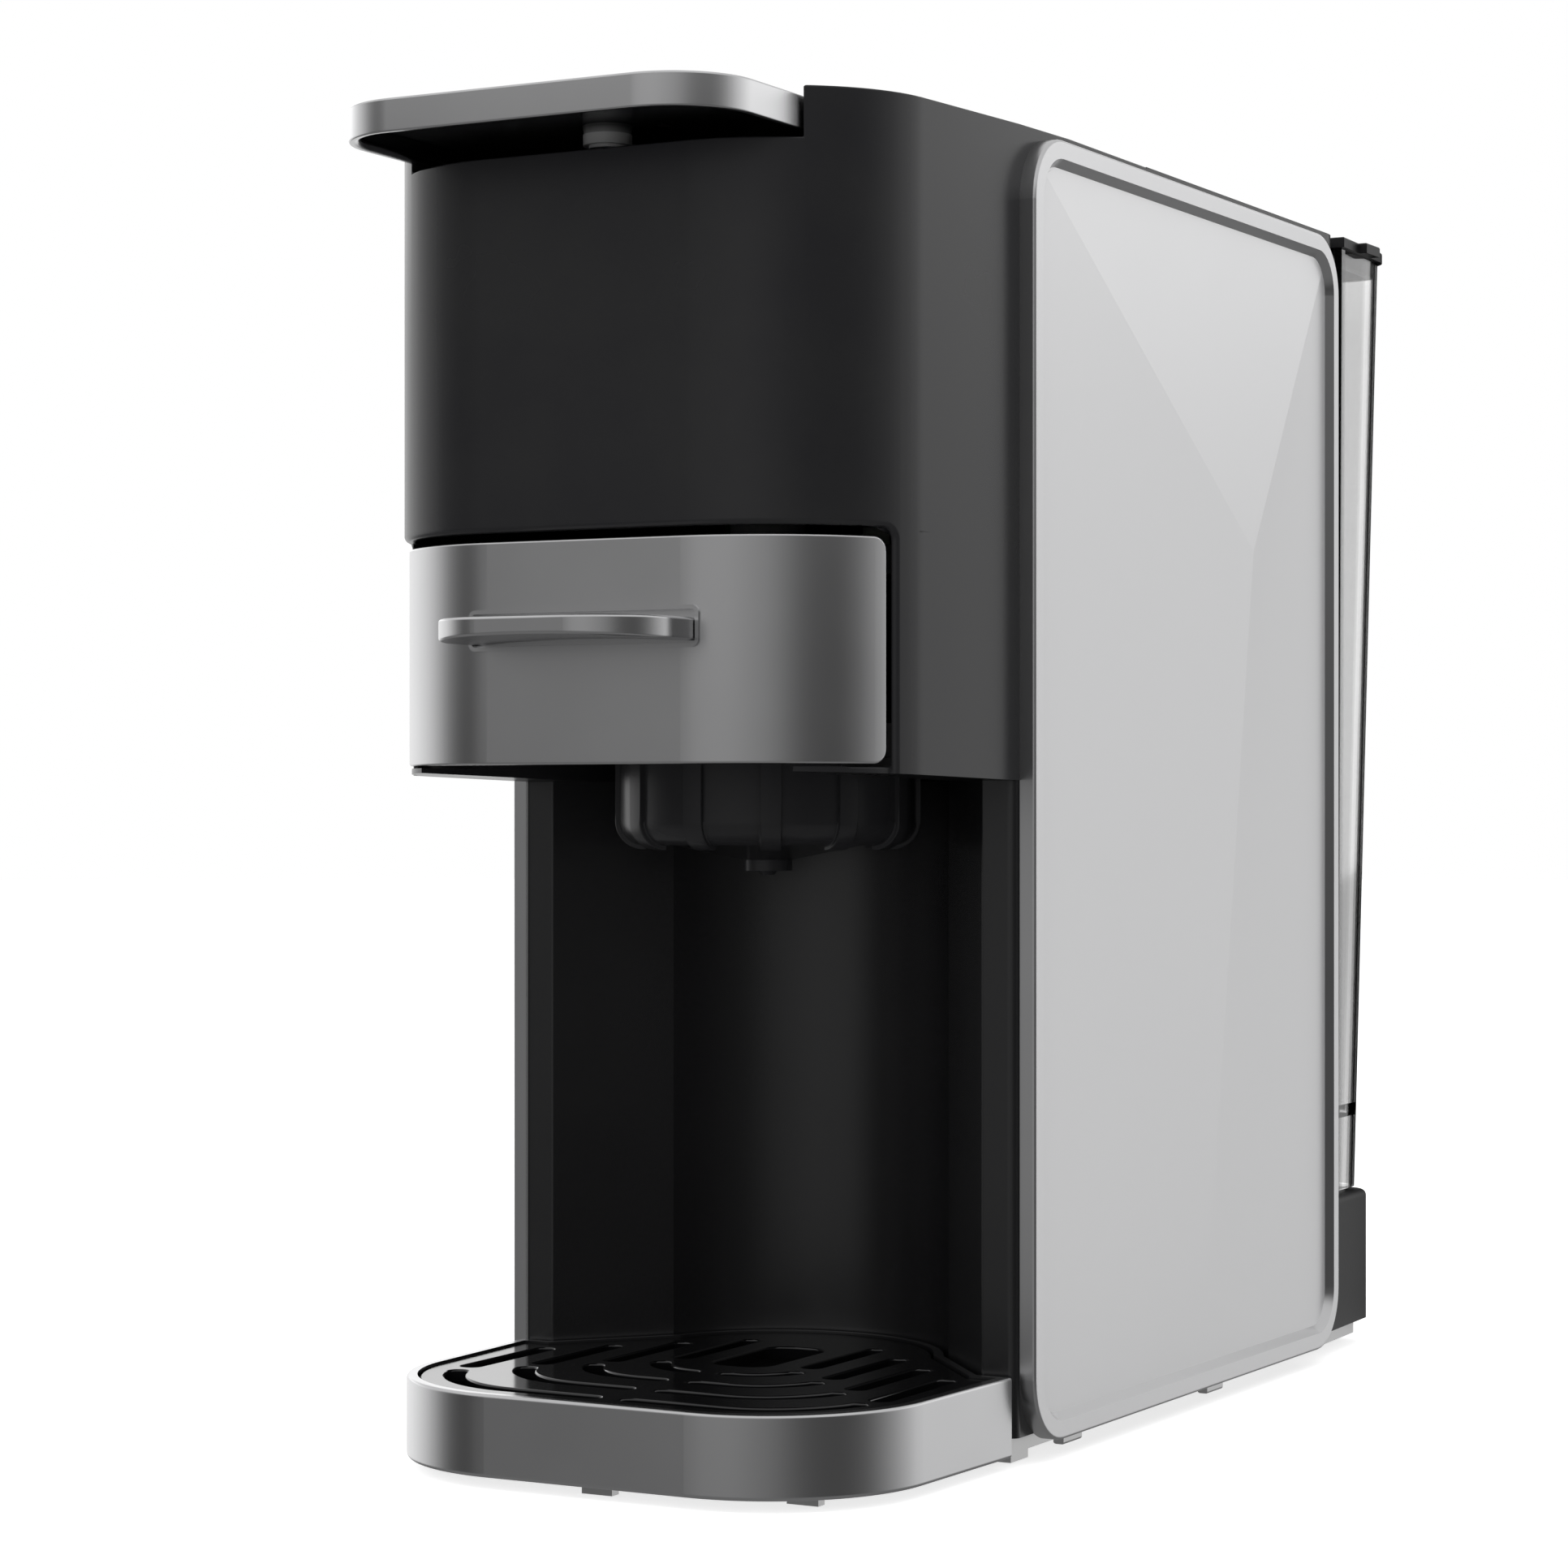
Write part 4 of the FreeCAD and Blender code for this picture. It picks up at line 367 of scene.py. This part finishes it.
def shader_of(material):
    """The main shader of a finish."""
    return next(node for node in material.node_tree.nodes if node.type == "BSDF_PRINCIPLED")


def repaint(material, mask, hex_colour):
    """Gives a finish another colour where a mask is 1."""
    colour = shader_of(material).inputs["Base Color"]
    mixed = add(material.node_tree, "ShaderNodeMix", {"B": linear(hex_colour)},
                {"Factor": mask, "A": colour.links[0].from_socket}, data_type="RGBA")
    material.node_tree.links.new(mixed.outputs["Result"], colour)


panel = FINISHES["silver"].node_tree
panel_normal = add(panel, "ShaderNodeNewGeometry").outputs["Normal"]
panel_look = add(panel, "ShaderNodeSeparateXYZ", links={0: panel_normal}).outputs
sideways = add(panel, "ShaderNodeMath", links={0: panel_look["X"]}, operation="ABSOLUTE")
facet = add(panel, "ShaderNodeMath", {1: FACET_LOOK}, {0: sideways.outputs[0]}, operation="GREATER_THAN")
mirroring = add(panel, "ShaderNodeMath", {1: -FACET_PAINTED_LIFT, 2: 1.0}, {0: facet.outputs[0]},
                operation="MULTIPLY_ADD")
panel.links.new(mirroring.outputs[0], shader_of(FINISHES["silver"]).inputs["Metallic"])
# Painted lift: the facets' colour is painted lighter than the lacquer's.
repaint(FINISHES["silver"], facet.outputs[0], "#d5d5d6")
print("facets painted lighter by", FACET_PAINTED_LIFT)

# %% [markdown]
# The stud under the lever is turned from zinc. Only its collar keeps the zinc's colour. Up the neck the
# colour is painted darker, a painted shade under the lever, deepest where the neck comes out of the liner.

# %% Stud with painted shade on its neck
NECK_FOOT, NECK_TOP = 269.2, 270.6  # heights on the machine, in millimetres
# Painted shade: the neck's colour falls off from the collar towards the liner.
NECK_PAINTED_SHADE = [(0.0, 1.0), (0.08, 0.45), (1.0, 0.08)]  # share of the way up, and of the colour that is left


def tint(material, shade):
    """Multiplies a finish's colour by a grey value that changes over the piece."""
    colour = shader_of(material).inputs["Base Color"]
    shaded = add(material.node_tree, "ShaderNodeMix", {"Factor": 1.0},
                 {"A": colour.links[0].from_socket, "B": shade}, data_type="RGBA", blend_type="MULTIPLY")
    material.node_tree.links.new(shaded.outputs["Result"], colour)


stud = FINISHES["satin_metal"].node_tree
stud_spot = add(stud, "ShaderNodeTexCoord").outputs["Object"]
stud_axes = add(stud, "ShaderNodeSeparateXYZ", links={0: stud_spot}).outputs
neck = add(stud, "ShaderNodeMapRange", {"From Min": NECK_FOOT * MM, "From Max": NECK_TOP * MM},
           {"Value": stud_axes["Z"]})
neck_painted_shade = add(stud, "ShaderNodeValToRGB", links={"Fac": neck.outputs[0]})
fill_ramp(neck_painted_shade, NECK_PAINTED_SHADE)
tint(FINISHES["satin_metal"], neck_painted_shade.outputs[0])
print("neck darkens over", round(NECK_TOP - NECK_FOOT, 2), "mm")

# %% [markdown]
# The drip grille is black ABS from a polished tool, so it mirrors the room almost sharply.

# %% Polished black
FINISHES["gloss_black"] = surface(
    "polished_black_abs", ("#0c0c0d", "#101011"), grain=3.0, depth=0.004, roughness=(0.10, 0.16),
    sockets={"IOR": 1.53})
print("grille in", FINISHES["gloss_black"].name)

# %% [markdown]
# The tank is SAN, the clear plastic of most kitchen jugs, moulded with polished walls a couple of
# millimetres thick. Its colour is painted darker in upright strips along the front wall and in the rear
# corners, with a lighter strip beside the rear ones. These are painted reflections of the dark surroundings,
# and a painted highlight beside them. The strips are placed by distance from the walls; the rear ones follow
# the lean of the rear wall.

# %% Clear tank
FINISHES["clear"] = surface(
    "clear_san", ("#fbfbfb", "#fdfdfd"), grain=6.0, depth=0.002, roughness=(0.02, 0.04),
    sockets={"IOR": 1.57, "Transmission Weight": 1.0})
TANK_LEAN = 16.0 / 236.0  # the rear wall leans back this much for each millimetre up
CORNER_REACH = 18.0  # millimetres from the rear wall that the strips take up
# Painted reflection and highlight: the dark strips stand for dark surroundings mirrored in the corner, and
# the bright strip for a highlight beside it.
PAINTED_REFLECTION_STRIPS = [  # millimetres from the rear wall, and the share of the colour there
    (18.0, 0.64), (16.9, 0.64), (16.0, 1.0), (10.3, 1.0),  # the side wall and the bright strip
    (9.4, 0.02), (4.5, 0.02), (3.8, 0.85),  # the dark corner and the rear wall
]
# Painted reflection: the front wall's colour is darkened towards the front.
FRONT_DARK, FRONT_CLEAR, FRONT_PAINTED_REFLECTION = 2.0, 4.0, 0.45  # millimetres from the front, and the share there
tank = FINISHES["clear"].node_tree
tank_spot = add(tank, "ShaderNodeTexCoord").outputs["Object"]
tank_axes = add(tank, "ShaderNodeSeparateXYZ", links={0: tank_spot}).outputs
tank_low, tank_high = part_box("water_tank")
lean = add(tank, "ShaderNodeMath", {1: -TANK_LEAN, 2: TANK_LEAN * tank_high[2] - tank_high[1]},
           {0: tank_axes["Z"]}, operation="MULTIPLY_ADD")
from_rear = add(tank, "ShaderNodeMath", links={0: tank_axes["Y"], 1: lean.outputs[0]}, operation="ADD")
along = add(tank, "ShaderNodeMapRange", {"From Min": -CORNER_REACH * MM, "From Max": 0.0},
            {"Value": from_rear.outputs[0]})
rear_painted_strips = add(tank, "ShaderNodeValToRGB", links={"Fac": along.outputs[0]})
fill_ramp(rear_painted_strips, [(1 - distance / CORNER_REACH, share) for distance, share in PAINTED_REFLECTION_STRIPS])
front_painted_reflection = add(tank, "ShaderNodeMapRange",
                 {"From Min": tank_low[1] + FRONT_DARK * MM, "From Max": tank_low[1] + FRONT_CLEAR * MM,
                  "To Min": FRONT_PAINTED_REFLECTION, "To Max": 1.0}, {"Value": tank_axes["Y"]})
painted_reflection_strips = add(tank, "ShaderNodeMix", {"Factor": 1.0},
                {"A": rear_painted_strips.outputs[0], "B": front_painted_reflection.outputs[0]},
                data_type="RGBA", blend_type="MULTIPLY")
tint(FINISHES["clear"], painted_reflection_strips.outputs["Result"])
print("tank from", [round(v, 4) for v in tank_low], "to", [round(v, 4) for v in tank_high])

# %% [markdown]
# What is left lies inside or underneath: rubber mounts, silicone hoses, bare metals and circuit boards. To
# the eye they are dull black, milky white, soft grey metal and board green. Their names and tones follow
# what such parts are usually made of.

# %% Inner materials
FINISHES["rubber"] = surface(
    "black_rubber", ("#1c1c1c", "#222222"), grain=0.8, depth=0.02, roughness=(0.7, 0.8),
    sockets={"IOR": 1.52})
FINISHES["hose"] = surface(
    "silicone_hose", ("#d6d6d0", "#dededa"), grain=1.5, depth=0.01, roughness=(0.40, 0.48),
    sockets={"IOR": 1.41})
FINISHES["steel"] = surface(
    "drawn_steel", ("#b9b9b8", "#c3c3c2"), grain=0.4, depth=0.006, roughness=(0.25, 0.35),
    sockets={"Metallic": 1.0})
FINISHES["aluminium"] = surface(
    "cast_aluminium", ("#b4b5b6", "#c2c3c4"), grain=0.9, depth=0.05, roughness=(0.45, 0.58),
    sockets={"Metallic": 1.0})
FINISHES["copper_coil"] = surface(
    "varnished_laminations", ("#2a2a2c", "#343436"), grain=0.5, depth=0.03, roughness=(0.30, 0.42),
    sockets={"IOR": 1.52})
FINISHES["board"] = surface(
    "solder_masked_board", ("#0f4a26", "#12552c"), grain=0.6, depth=0.01, roughness=(0.28, 0.36),
    sockets={"IOR": 1.52})
FINISHES["inner"] = surface(
    "grey_polypropylene", ("#7c7c7c", "#858585"), grain=0.6, depth=0.015, roughness=(0.45, 0.55),
    sockets={"IOR": 1.49})
print(len(FINISHES), "finishes")

# %% [markdown]
# Every CAD piece already names its finish in the record, so dressing the model is one loop.

# %% Dress the CAD pieces
for subpart in frame["record"]["subparts"]:
    materials = nodes[subpart["node"]].data.materials
    materials.clear()
    materials.append(FINISHES[subpart["material_slot"]])

# %% [markdown]
# The drip tray is pewter outside and near-black inside. A face belongs to the inside when it looks towards
# the middle of the tray, or when it looks up from below the rim.

# %% Inside of the tray
TRAY_LACQUER = surface(
    "pewter_lacquer_outside", ("#cacacb", "#cdcdce"), grain=0.45, depth=0.002, roughness=(0.24, 0.27))
# The outside colour reaches this far below the rim; below it the inside turns near-black.
RIM_DEPTH = 1.2  # millimetres below the rim that are still sprayed
INWARD, UPWARD = -0.0005, 0.5  # limits for a face that looks to the middle, and for one that looks up
nodes["drip_tray"].data.materials[0] = TRAY_LACQUER
tray = TRAY_LACQUER.node_tree
tray_low, tray_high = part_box("drip_tray")
tray_middle = [(tray_low[0] + tray_high[0]) / 2, (tray_low[1] + tray_high[1]) / 2, 0.0]
tray_spot = add(tray, "ShaderNodeTexCoord").outputs["Object"]
tray_axes = add(tray, "ShaderNodeSeparateXYZ", links={0: tray_spot}).outputs
tray_normal = add(tray, "ShaderNodeNewGeometry").outputs["Normal"]
tray_look = add(tray, "ShaderNodeSeparateXYZ", links={0: tray_normal}).outputs
from_middle = add(tray, "ShaderNodeVectorMath", {1: tray_middle}, {0: tray_spot}, operation="SUBTRACT")
outward = add(tray, "ShaderNodeVectorMath", {1: (1.0, 1.0, 0.0)}, {0: from_middle.outputs[0]},
              operation="MULTIPLY")
away = add(tray, "ShaderNodeVectorMath", links={0: tray_normal, 1: outward.outputs[0]},
           operation="DOT_PRODUCT")
looks_in = add(tray, "ShaderNodeMath", {1: INWARD}, {0: away.outputs["Value"]}, operation="LESS_THAN")
looks_up = add(tray, "ShaderNodeMath", {1: UPWARD}, {0: tray_look["Z"]}, operation="GREATER_THAN")
below_rim = add(tray, "ShaderNodeMath", {1: tray_high[2] - RIM_DEPTH * MM}, {0: tray_axes["Z"]},
                operation="LESS_THAN")
bottom = add(tray, "ShaderNodeMath", links={0: looks_up.outputs[0], 1: below_rim.outputs[0]},
             operation="MULTIPLY")
tray_inside_mask = add(tray, "ShaderNodeMath", links={0: looks_in.outputs[0], 1: bottom.outputs[0]},
           operation="MAXIMUM")
print("tray's rim at", round(tray_high[2], 4))

# %% [markdown]
# The test then swaps the colour for near-black and turns the metal off.

# %% Tray, near-black inside
tray_outside_mask = add(tray, "ShaderNodeMath", {0: 1.0}, {1: tray_inside_mask.outputs[0]}, operation="SUBTRACT")
tray.links.new(tray_outside_mask.outputs[0], shader_of(TRAY_LACQUER).inputs["Metallic"])
repaint(TRAY_LACQUER, tray_inside_mask.outputs[0], "#171718")
print("tray in", TRAY_LACQUER.name)

# %% [markdown]
# The column behind the cup comes from a smoother tool than the head: it is a deeper black, and mirrors the
# room in a clearer band down the middle of its hollow.

# %% Smooth black column
COLUMN_BLACK = surface(
    "black_abs_smooth", ("#151516", "#171718"), grain=0.5, depth=0.003, roughness=(0.22, 0.26),
    sockets={"IOR": 1.53, "Specular IOR Level": 0.6})
nodes["column_cover"].data.materials[0] = COLUMN_BLACK
print("column in", COLUMN_BLACK.name)

# %% [markdown]
# ## Moulded edges
# No moulding has knife-sharp edges: the tool leaves a small round that catches a thin line of light. The
# CAD model leaves some rims, ribs and corners sharp. The wanted edges are picked by how sharp they are,
# where they lie and which way they look. Faces and points are deselected first, because a selected face
# would select its edges again in edit mode.

# %% Picking sharp edges
SHARP = math.radians(35)


def pick_sharp(mesh, wanted):
    """Selects the sharp edges that pass a test, on the mesh that is in edit mode.

    The test gets an edge's two ends in millimetres, and the direction that the edge looks.
    """
    bpy.ops.mesh.select_all(action="DESELECT")
    bpy.ops.mesh.edges_select_sharp(sharpness=SHARP)
    bpy.ops.object.mode_set(mode="OBJECT")
    looks = {}
    for face in mesh.polygons:
        for key in face.edge_keys:
            looks[key] = looks.get(key, Vector()) + face.normal
    mesh.polygons.foreach_set("select", [False] * len(mesh.polygons))
    mesh.vertices.foreach_set("select", [False] * len(mesh.vertices))
    for edge in mesh.edges:
        if edge.select:
            ends = [mesh.vertices[i].co / MM for i in edge.vertices]
            edge.select = wanted(*ends, looks[edge.key])
    bpy.ops.object.mode_set(mode="EDIT")


print("edges count as sharp from", round(math.degrees(SHARP)), "degrees")

# %% [markdown]
# Each such piece is copied, its loose triangles are merged, flat faces are joined again, and the picked
# edges are bevelled. Weighted normals keep the flat faces flat beside the new rounds.

# %% Softened copies
MERGE = 0.002  # millimetres
FLAT = math.radians(0.5)


def softened(node, body, rounds):
    """Copy of a CAD piece with sharp edges rounded; rounds pairs a width in mm with a test of an edge."""
    bpy.ops.object.select_all(action="DESELECT")
    piece = bpy.data.objects.new(node + "_moulded", nodes[node].data.copy())
    scene.collection.objects.link(piece)
    piece.select_set(True)
    bpy.context.view_layer.objects.active = piece
    bpy.ops.mesh.customdata_custom_splitnormals_clear()
    bpy.ops.object.mode_set(mode="EDIT")
    bpy.ops.mesh.select_mode(type="EDGE")
    bpy.ops.mesh.select_all(action="SELECT")
    bpy.ops.mesh.remove_doubles(threshold=MERGE * MM)
    bpy.ops.mesh.dissolve_limited(angle_limit=FLAT)
    for width, wanted in rounds:
        pick_sharp(piece.data, wanted)
        bpy.ops.mesh.bevel(offset=width * MM, segments=3, affect="EDGES")
    bpy.ops.object.mode_set(mode="OBJECT")
    bpy.ops.object.shade_smooth_by_angle(angle=SHARP)
    weighted = piece.modifiers.new("flat faces", "WEIGHTED_NORMAL")
    weighted.keep_sharp = True
    bpy.ops.object.modifier_apply(modifier=weighted.name)
    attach(piece, body)
    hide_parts(node)
    print(piece.name, len(piece.data.polygons), "faces")
    return piece


print("softened copies merge points within", MERGE, "mm")

# %% [markdown]
# The head's visible rims are the ones round its top and lever notch, the sill over the drawer and the
# upright frame on both sides of the drawer.

# %% Head
HEAD_ROUND = 0.4  # millimetres, as the places below
TOP_RIMS = 264.0
SILL_FOOT, SILL_TOP = 189.0, 194.0
FRAME_FOOT, FRAME_SIDE = 143.0, 50.0
FRONT_END = -105.0  # sill and frame lie ahead of this


def head_rim(start, end, look):
    """The head's upper rims, its sill over the drawer and the frame beside the drawer."""
    low, high = min(start.z, end.z), max(start.z, end.z)
    by_drawer = max(start.y, end.y) < FRONT_END and high < SILL_TOP
    beside = low > FRAME_FOOT and min(abs(start.x), abs(end.x)) > FRAME_SIDE
    return low > TOP_RIMS or by_drawer and (low > SILL_FOOT or beside)


head = softened("head_shell", "machine", [(HEAD_ROUND, head_rim)])

# %% [markdown]
# The capsule holder's twelve ribs stiffen its thin wall. Their edges shine where they turn towards the
# light, which is what makes them readable in the dark of the bay.

# %% Capsule holder
RIB_ROUND = 0.3  # millimetres, as the places below
HOLDER_AXIS = -63.15
RIB_START, RIB_TOP = 25.0, 150.0


def rib_edge(start, end, look):
    """The edges of the ribs and of the holder's round bottom."""
    spread = min(math.hypot(spot.x, spot.y - HOLDER_AXIS) for spot in (start, end))
    return spread > RIB_START and max(start.z, end.z) < RIB_TOP


holder = softened("capsule_holder", "drawer", [(RIB_ROUND, rib_edge)])

# %% [markdown]
# The lever is a thin moulded tray turned upside down. Its lower lip is rounded: only a little on the
# outside, and well over on the inside, where a finger takes hold.

# %% Lever
LIP_INNER_ROUND, LIP_OUTER_ROUND = 1.5, 0.35  # millimetres, as the places below
LEVER_LIP, LIP_SLACK = 266.6, 0.1
LEVER_HEART = -60.0  # a place on the middle line, well inside the lip


def on_lip(start, end):
    """Whether an edge lies in the lever's lower lip."""
    return max(abs(start.z - LEVER_LIP), abs(end.z - LEVER_LIP)) < LIP_SLACK


def outwards(start, end, look):
    """How much an edge looks away from the lever's heart; towards it is negative."""
    middle = (start + end) / 2
    return look.x * middle.x + look.y * (middle.y - LEVER_HEART)


def lip_inside(start, end, look):
    """The lip's inner edge."""
    return on_lip(start, end) and outwards(start, end, look) < 0


def lip_outside(start, end, look):
    """The lip's outer edge."""
    return on_lip(start, end) and outwards(start, end, look) > 0


lever = softened("lever_cover", "lever", [(LIP_INNER_ROUND, lip_inside), (LIP_OUTER_ROUND, lip_outside)])

# %% [markdown]
# ## Buttons
# The three push buttons are small lacquered caps with a dished top, so that a finger finds the middle,
# and a ring of smoked acrylic let into a groove, which would light up in use. The rings differ in
# size: a small one for a short coffee, a large one for a long one. A cap starts as its hidden collar and
# grows from it by insets and extrusions, one for each step of its outline.

# %% Picking and pulling faces
def pick(piece, wanted):
    """Selects the faces of the piece in edit mode that pass a test of their middle and normal."""
    bpy.ops.object.mode_set(mode="OBJECT")
    for group in (piece.data.vertices, piece.data.edges, piece.data.polygons):
        group.foreach_set("select", [False] * len(group))
    for face in piece.data.polygons:
        face.select = wanted(face.center, face.normal)
    bpy.ops.object.mode_set(mode="EDIT")
    bpy.ops.mesh.select_mode(type="FACE")


def extrude(height):
    """Pulls the selected faces straight up by so many millimetres, or down."""
    bpy.ops.mesh.extrude_region_move(TRANSFORM_OT_translate={"value": (0.0, 0.0, height * MM)})


def inset(width, depth=0.0):
    """Insets the selected faces, in millimetres."""
    bpy.ops.mesh.inset(thickness=width * MM, depth=depth * MM)


print("helpers:", pick.__name__, extrude.__name__, inset.__name__)

# %% [markdown]
# The ring is acrylic, smoked so that a lamp under it shows only when it is lit. To the eye it is a thin
# near-black line with a clear gloss.

# %% Smoked ring
LIGHT_RING = surface(
    "smoked_acrylic", ("#151517", "#19191b"), grain=1.0, depth=0.002, roughness=(0.14, 0.18),
    sockets={"IOR": 1.49})
print("ring of", LIGHT_RING.name)

# %% [markdown]
# One function makes a cap, because the three differ only in place and in the size of their ring.

# %% Button caps
LEVEL = 0.9  # upward part of a face's normal from which it counts as level
SMOOTH = math.radians(30)
COLLAR_RADIUS, COLLAR, CAP_RADIUS, CAP_ROUND = 10.2, 1.9, 9.0, 0.8  # all in millimetres
STEM_RADIUS, STEM = 3.0, 1.5
DISH_RIM, DISH = 0.7, 0.35
GROOVE, GROOVE_DEPTH, GROOVE_SIDE = 0.7, 0.25, 0.04
NEAR = 0.02  # faces this close to a height lie at it


def button_cap(node, body, ring_radius):
    """Push button in the place of a CAD button, with a light ring of the given radius."""
    low, high = [Vector(corner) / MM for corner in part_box(node)]
    middle = (low + high) / 2
    top = high.z
    collar = low.z + STEM
    ring_floor = top - DISH - GROOVE_DEPTH
    bpy.ops.object.select_all(action="DESELECT")
    bpy.ops.mesh.primitive_cylinder_add(
        vertices=64, radius=COLLAR_RADIUS * MM, depth=COLLAR * MM,
        location=(middle.x * MM, middle.y * MM, (collar + COLLAR / 2) * MM))
    cap = bpy.context.object
    cap.name = node + "_cap"
    bpy.ops.object.transform_apply(location=True, rotation=True, scale=True)
    pick(cap, lambda centre, normal: normal.z < -LEVEL)
    inset(COLLAR_RADIUS - STEM_RADIUS)
    extrude(-STEM)
    pick(cap, lambda centre, normal: normal.z > LEVEL)
    inset(COLLAR_RADIUS - CAP_RADIUS)
    extrude(top - collar - COLLAR)
    bpy.ops.mesh.bevel(offset=CAP_ROUND * MM, segments=4, affect="EDGES")
    pick(cap, lambda centre, normal: normal.z > LEVEL and abs(centre.z / MM - top) < NEAR)
    inset(DISH_RIM, -DISH)
    inset(CAP_RADIUS - CAP_ROUND - DISH_RIM - ring_radius - GROOVE / 2)
    inset(GROOVE_SIDE, -GROOVE_DEPTH)
    inset(GROOVE)
    inset(GROOVE_SIDE, GROOVE_DEPTH)
    cap.data.materials.append(FINISHES["pewter"])
    cap.data.materials.append(LIGHT_RING)
    pick(cap, lambda centre, normal: normal.z > LEVEL and abs(centre.z / MM - ring_floor) < NEAR)
    cap.active_material_index = 1
    bpy.ops.object.material_slot_assign()
    bpy.ops.object.mode_set(mode="OBJECT")
    bpy.ops.object.shade_smooth_by_angle(angle=SMOOTH)
    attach(cap, body)
    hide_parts(node)
    print(cap.name, len(cap.data.polygons), "faces")


button_cap("button_power", "power_button", ring_radius=3.6)
button_cap("button_short", "short_button", ring_radius=2.2)
button_cap("button_long", "long_button", ring_radius=4.8)

# %% [markdown]
# ## Base screws
# Six pan-head screws hold the base pan. A driver turns them by a cross recess, which two boolean cuts leave
# in the head. One screw is modelled, and its copies are joined into one piece.

# %% One screw
SCREW_HEAD_RADIUS, SCREW_HEAD, SCREW_HEAD_ROUND = 3.0, 1.8, 0.6  # all in millimetres
SCREW_RADIUS, SCREW_LENGTH, SCREW_POINT = 1.5, 12.0, 0.7
RECESS_LENGTH, RECESS_WIDTH, RECESS_DEPTH = 3.6, 0.8, 1.0
screw_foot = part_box("base_screws")[0][2]
bpy.ops.object.select_all(action="DESELECT")
bpy.ops.mesh.primitive_cylinder_add(
    vertices=40, radius=SCREW_HEAD_RADIUS * MM, depth=SCREW_HEAD * MM,
    location=(0.0, 0.0, screw_foot + SCREW_HEAD / 2 * MM))
screw = bpy.context.object
screw.name = "base_screw"
bpy.ops.object.transform_apply(location=True, rotation=True, scale=True)
pick(screw, lambda centre, normal: normal.z > LEVEL)
inset(SCREW_HEAD_RADIUS - SCREW_RADIUS)
extrude(SCREW_LENGTH)
bpy.ops.mesh.bevel(offset=SCREW_POINT * MM, segments=2, affect="EDGES")
pick(screw, lambda centre, normal: normal.z < -LEVEL)
bpy.ops.mesh.bevel(offset=SCREW_HEAD_ROUND * MM, segments=4, affect="EDGES")
bpy.ops.object.mode_set(mode="OBJECT")
for length, width in ((RECESS_LENGTH, RECESS_WIDTH), (RECESS_WIDTH, RECESS_LENGTH)):
    bpy.ops.object.select_all(action="DESELECT")
    bpy.ops.mesh.primitive_cube_add(size=1.0, location=(0.0, 0.0, screw_foot))
    bar = bpy.context.object
    bar.scale = (length * MM, width * MM, 2 * RECESS_DEPTH * MM)
    bpy.ops.object.transform_apply(location=True, rotation=True, scale=True)
    recess = screw.modifiers.new("recess", "BOOLEAN")
    recess.object = bar
    recess.operation = "DIFFERENCE"
    bpy.context.view_layer.objects.active = screw
    bpy.ops.object.modifier_apply(modifier=recess.name)
    bpy.data.objects.remove(bar)
print(screw.name, len(screw.data.polygons), "faces")

# %% [markdown]
# The copies stand where the CAD screws are. Each gets its own mesh, moved there, and a turn of its own, as
# screws stop where they are tight.

# %% Six screws
SCREW_ROWS = (-48.65, 19.35, 99.35)  # millimetres
SCREW_SIDE = 52.0
SCREW_TURN = math.radians(25)  # from each screw to the next
places = [(half * SCREW_SIDE, row) for half in (-1, 1) for row in SCREW_ROWS]
bpy.ops.object.select_all(action="DESELECT")
for number, (x, y) in enumerate(places):
    twin = bpy.data.objects.new("base_screw_copy", screw.data.copy())
    turned = Matrix.Rotation(SCREW_TURN * number, 4, "Z")
    twin.data.transform(Matrix.Translation((x * MM, y * MM, 0.0)) @ turned)
    scene.collection.objects.link(twin)
    twin.select_set(True)
    bpy.context.view_layer.objects.active = twin
bpy.data.objects.remove(screw)
bpy.ops.object.join()
screws = bpy.context.object
screws.name = "base_screws_cross_head"
bpy.ops.object.shade_smooth_by_angle(angle=SMOOTH)
screws.data.materials.append(FINISHES["steel"])
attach(screws, "machine")
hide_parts("base_screws")
print(screws.name, len(screws.data.polygons), "faces")
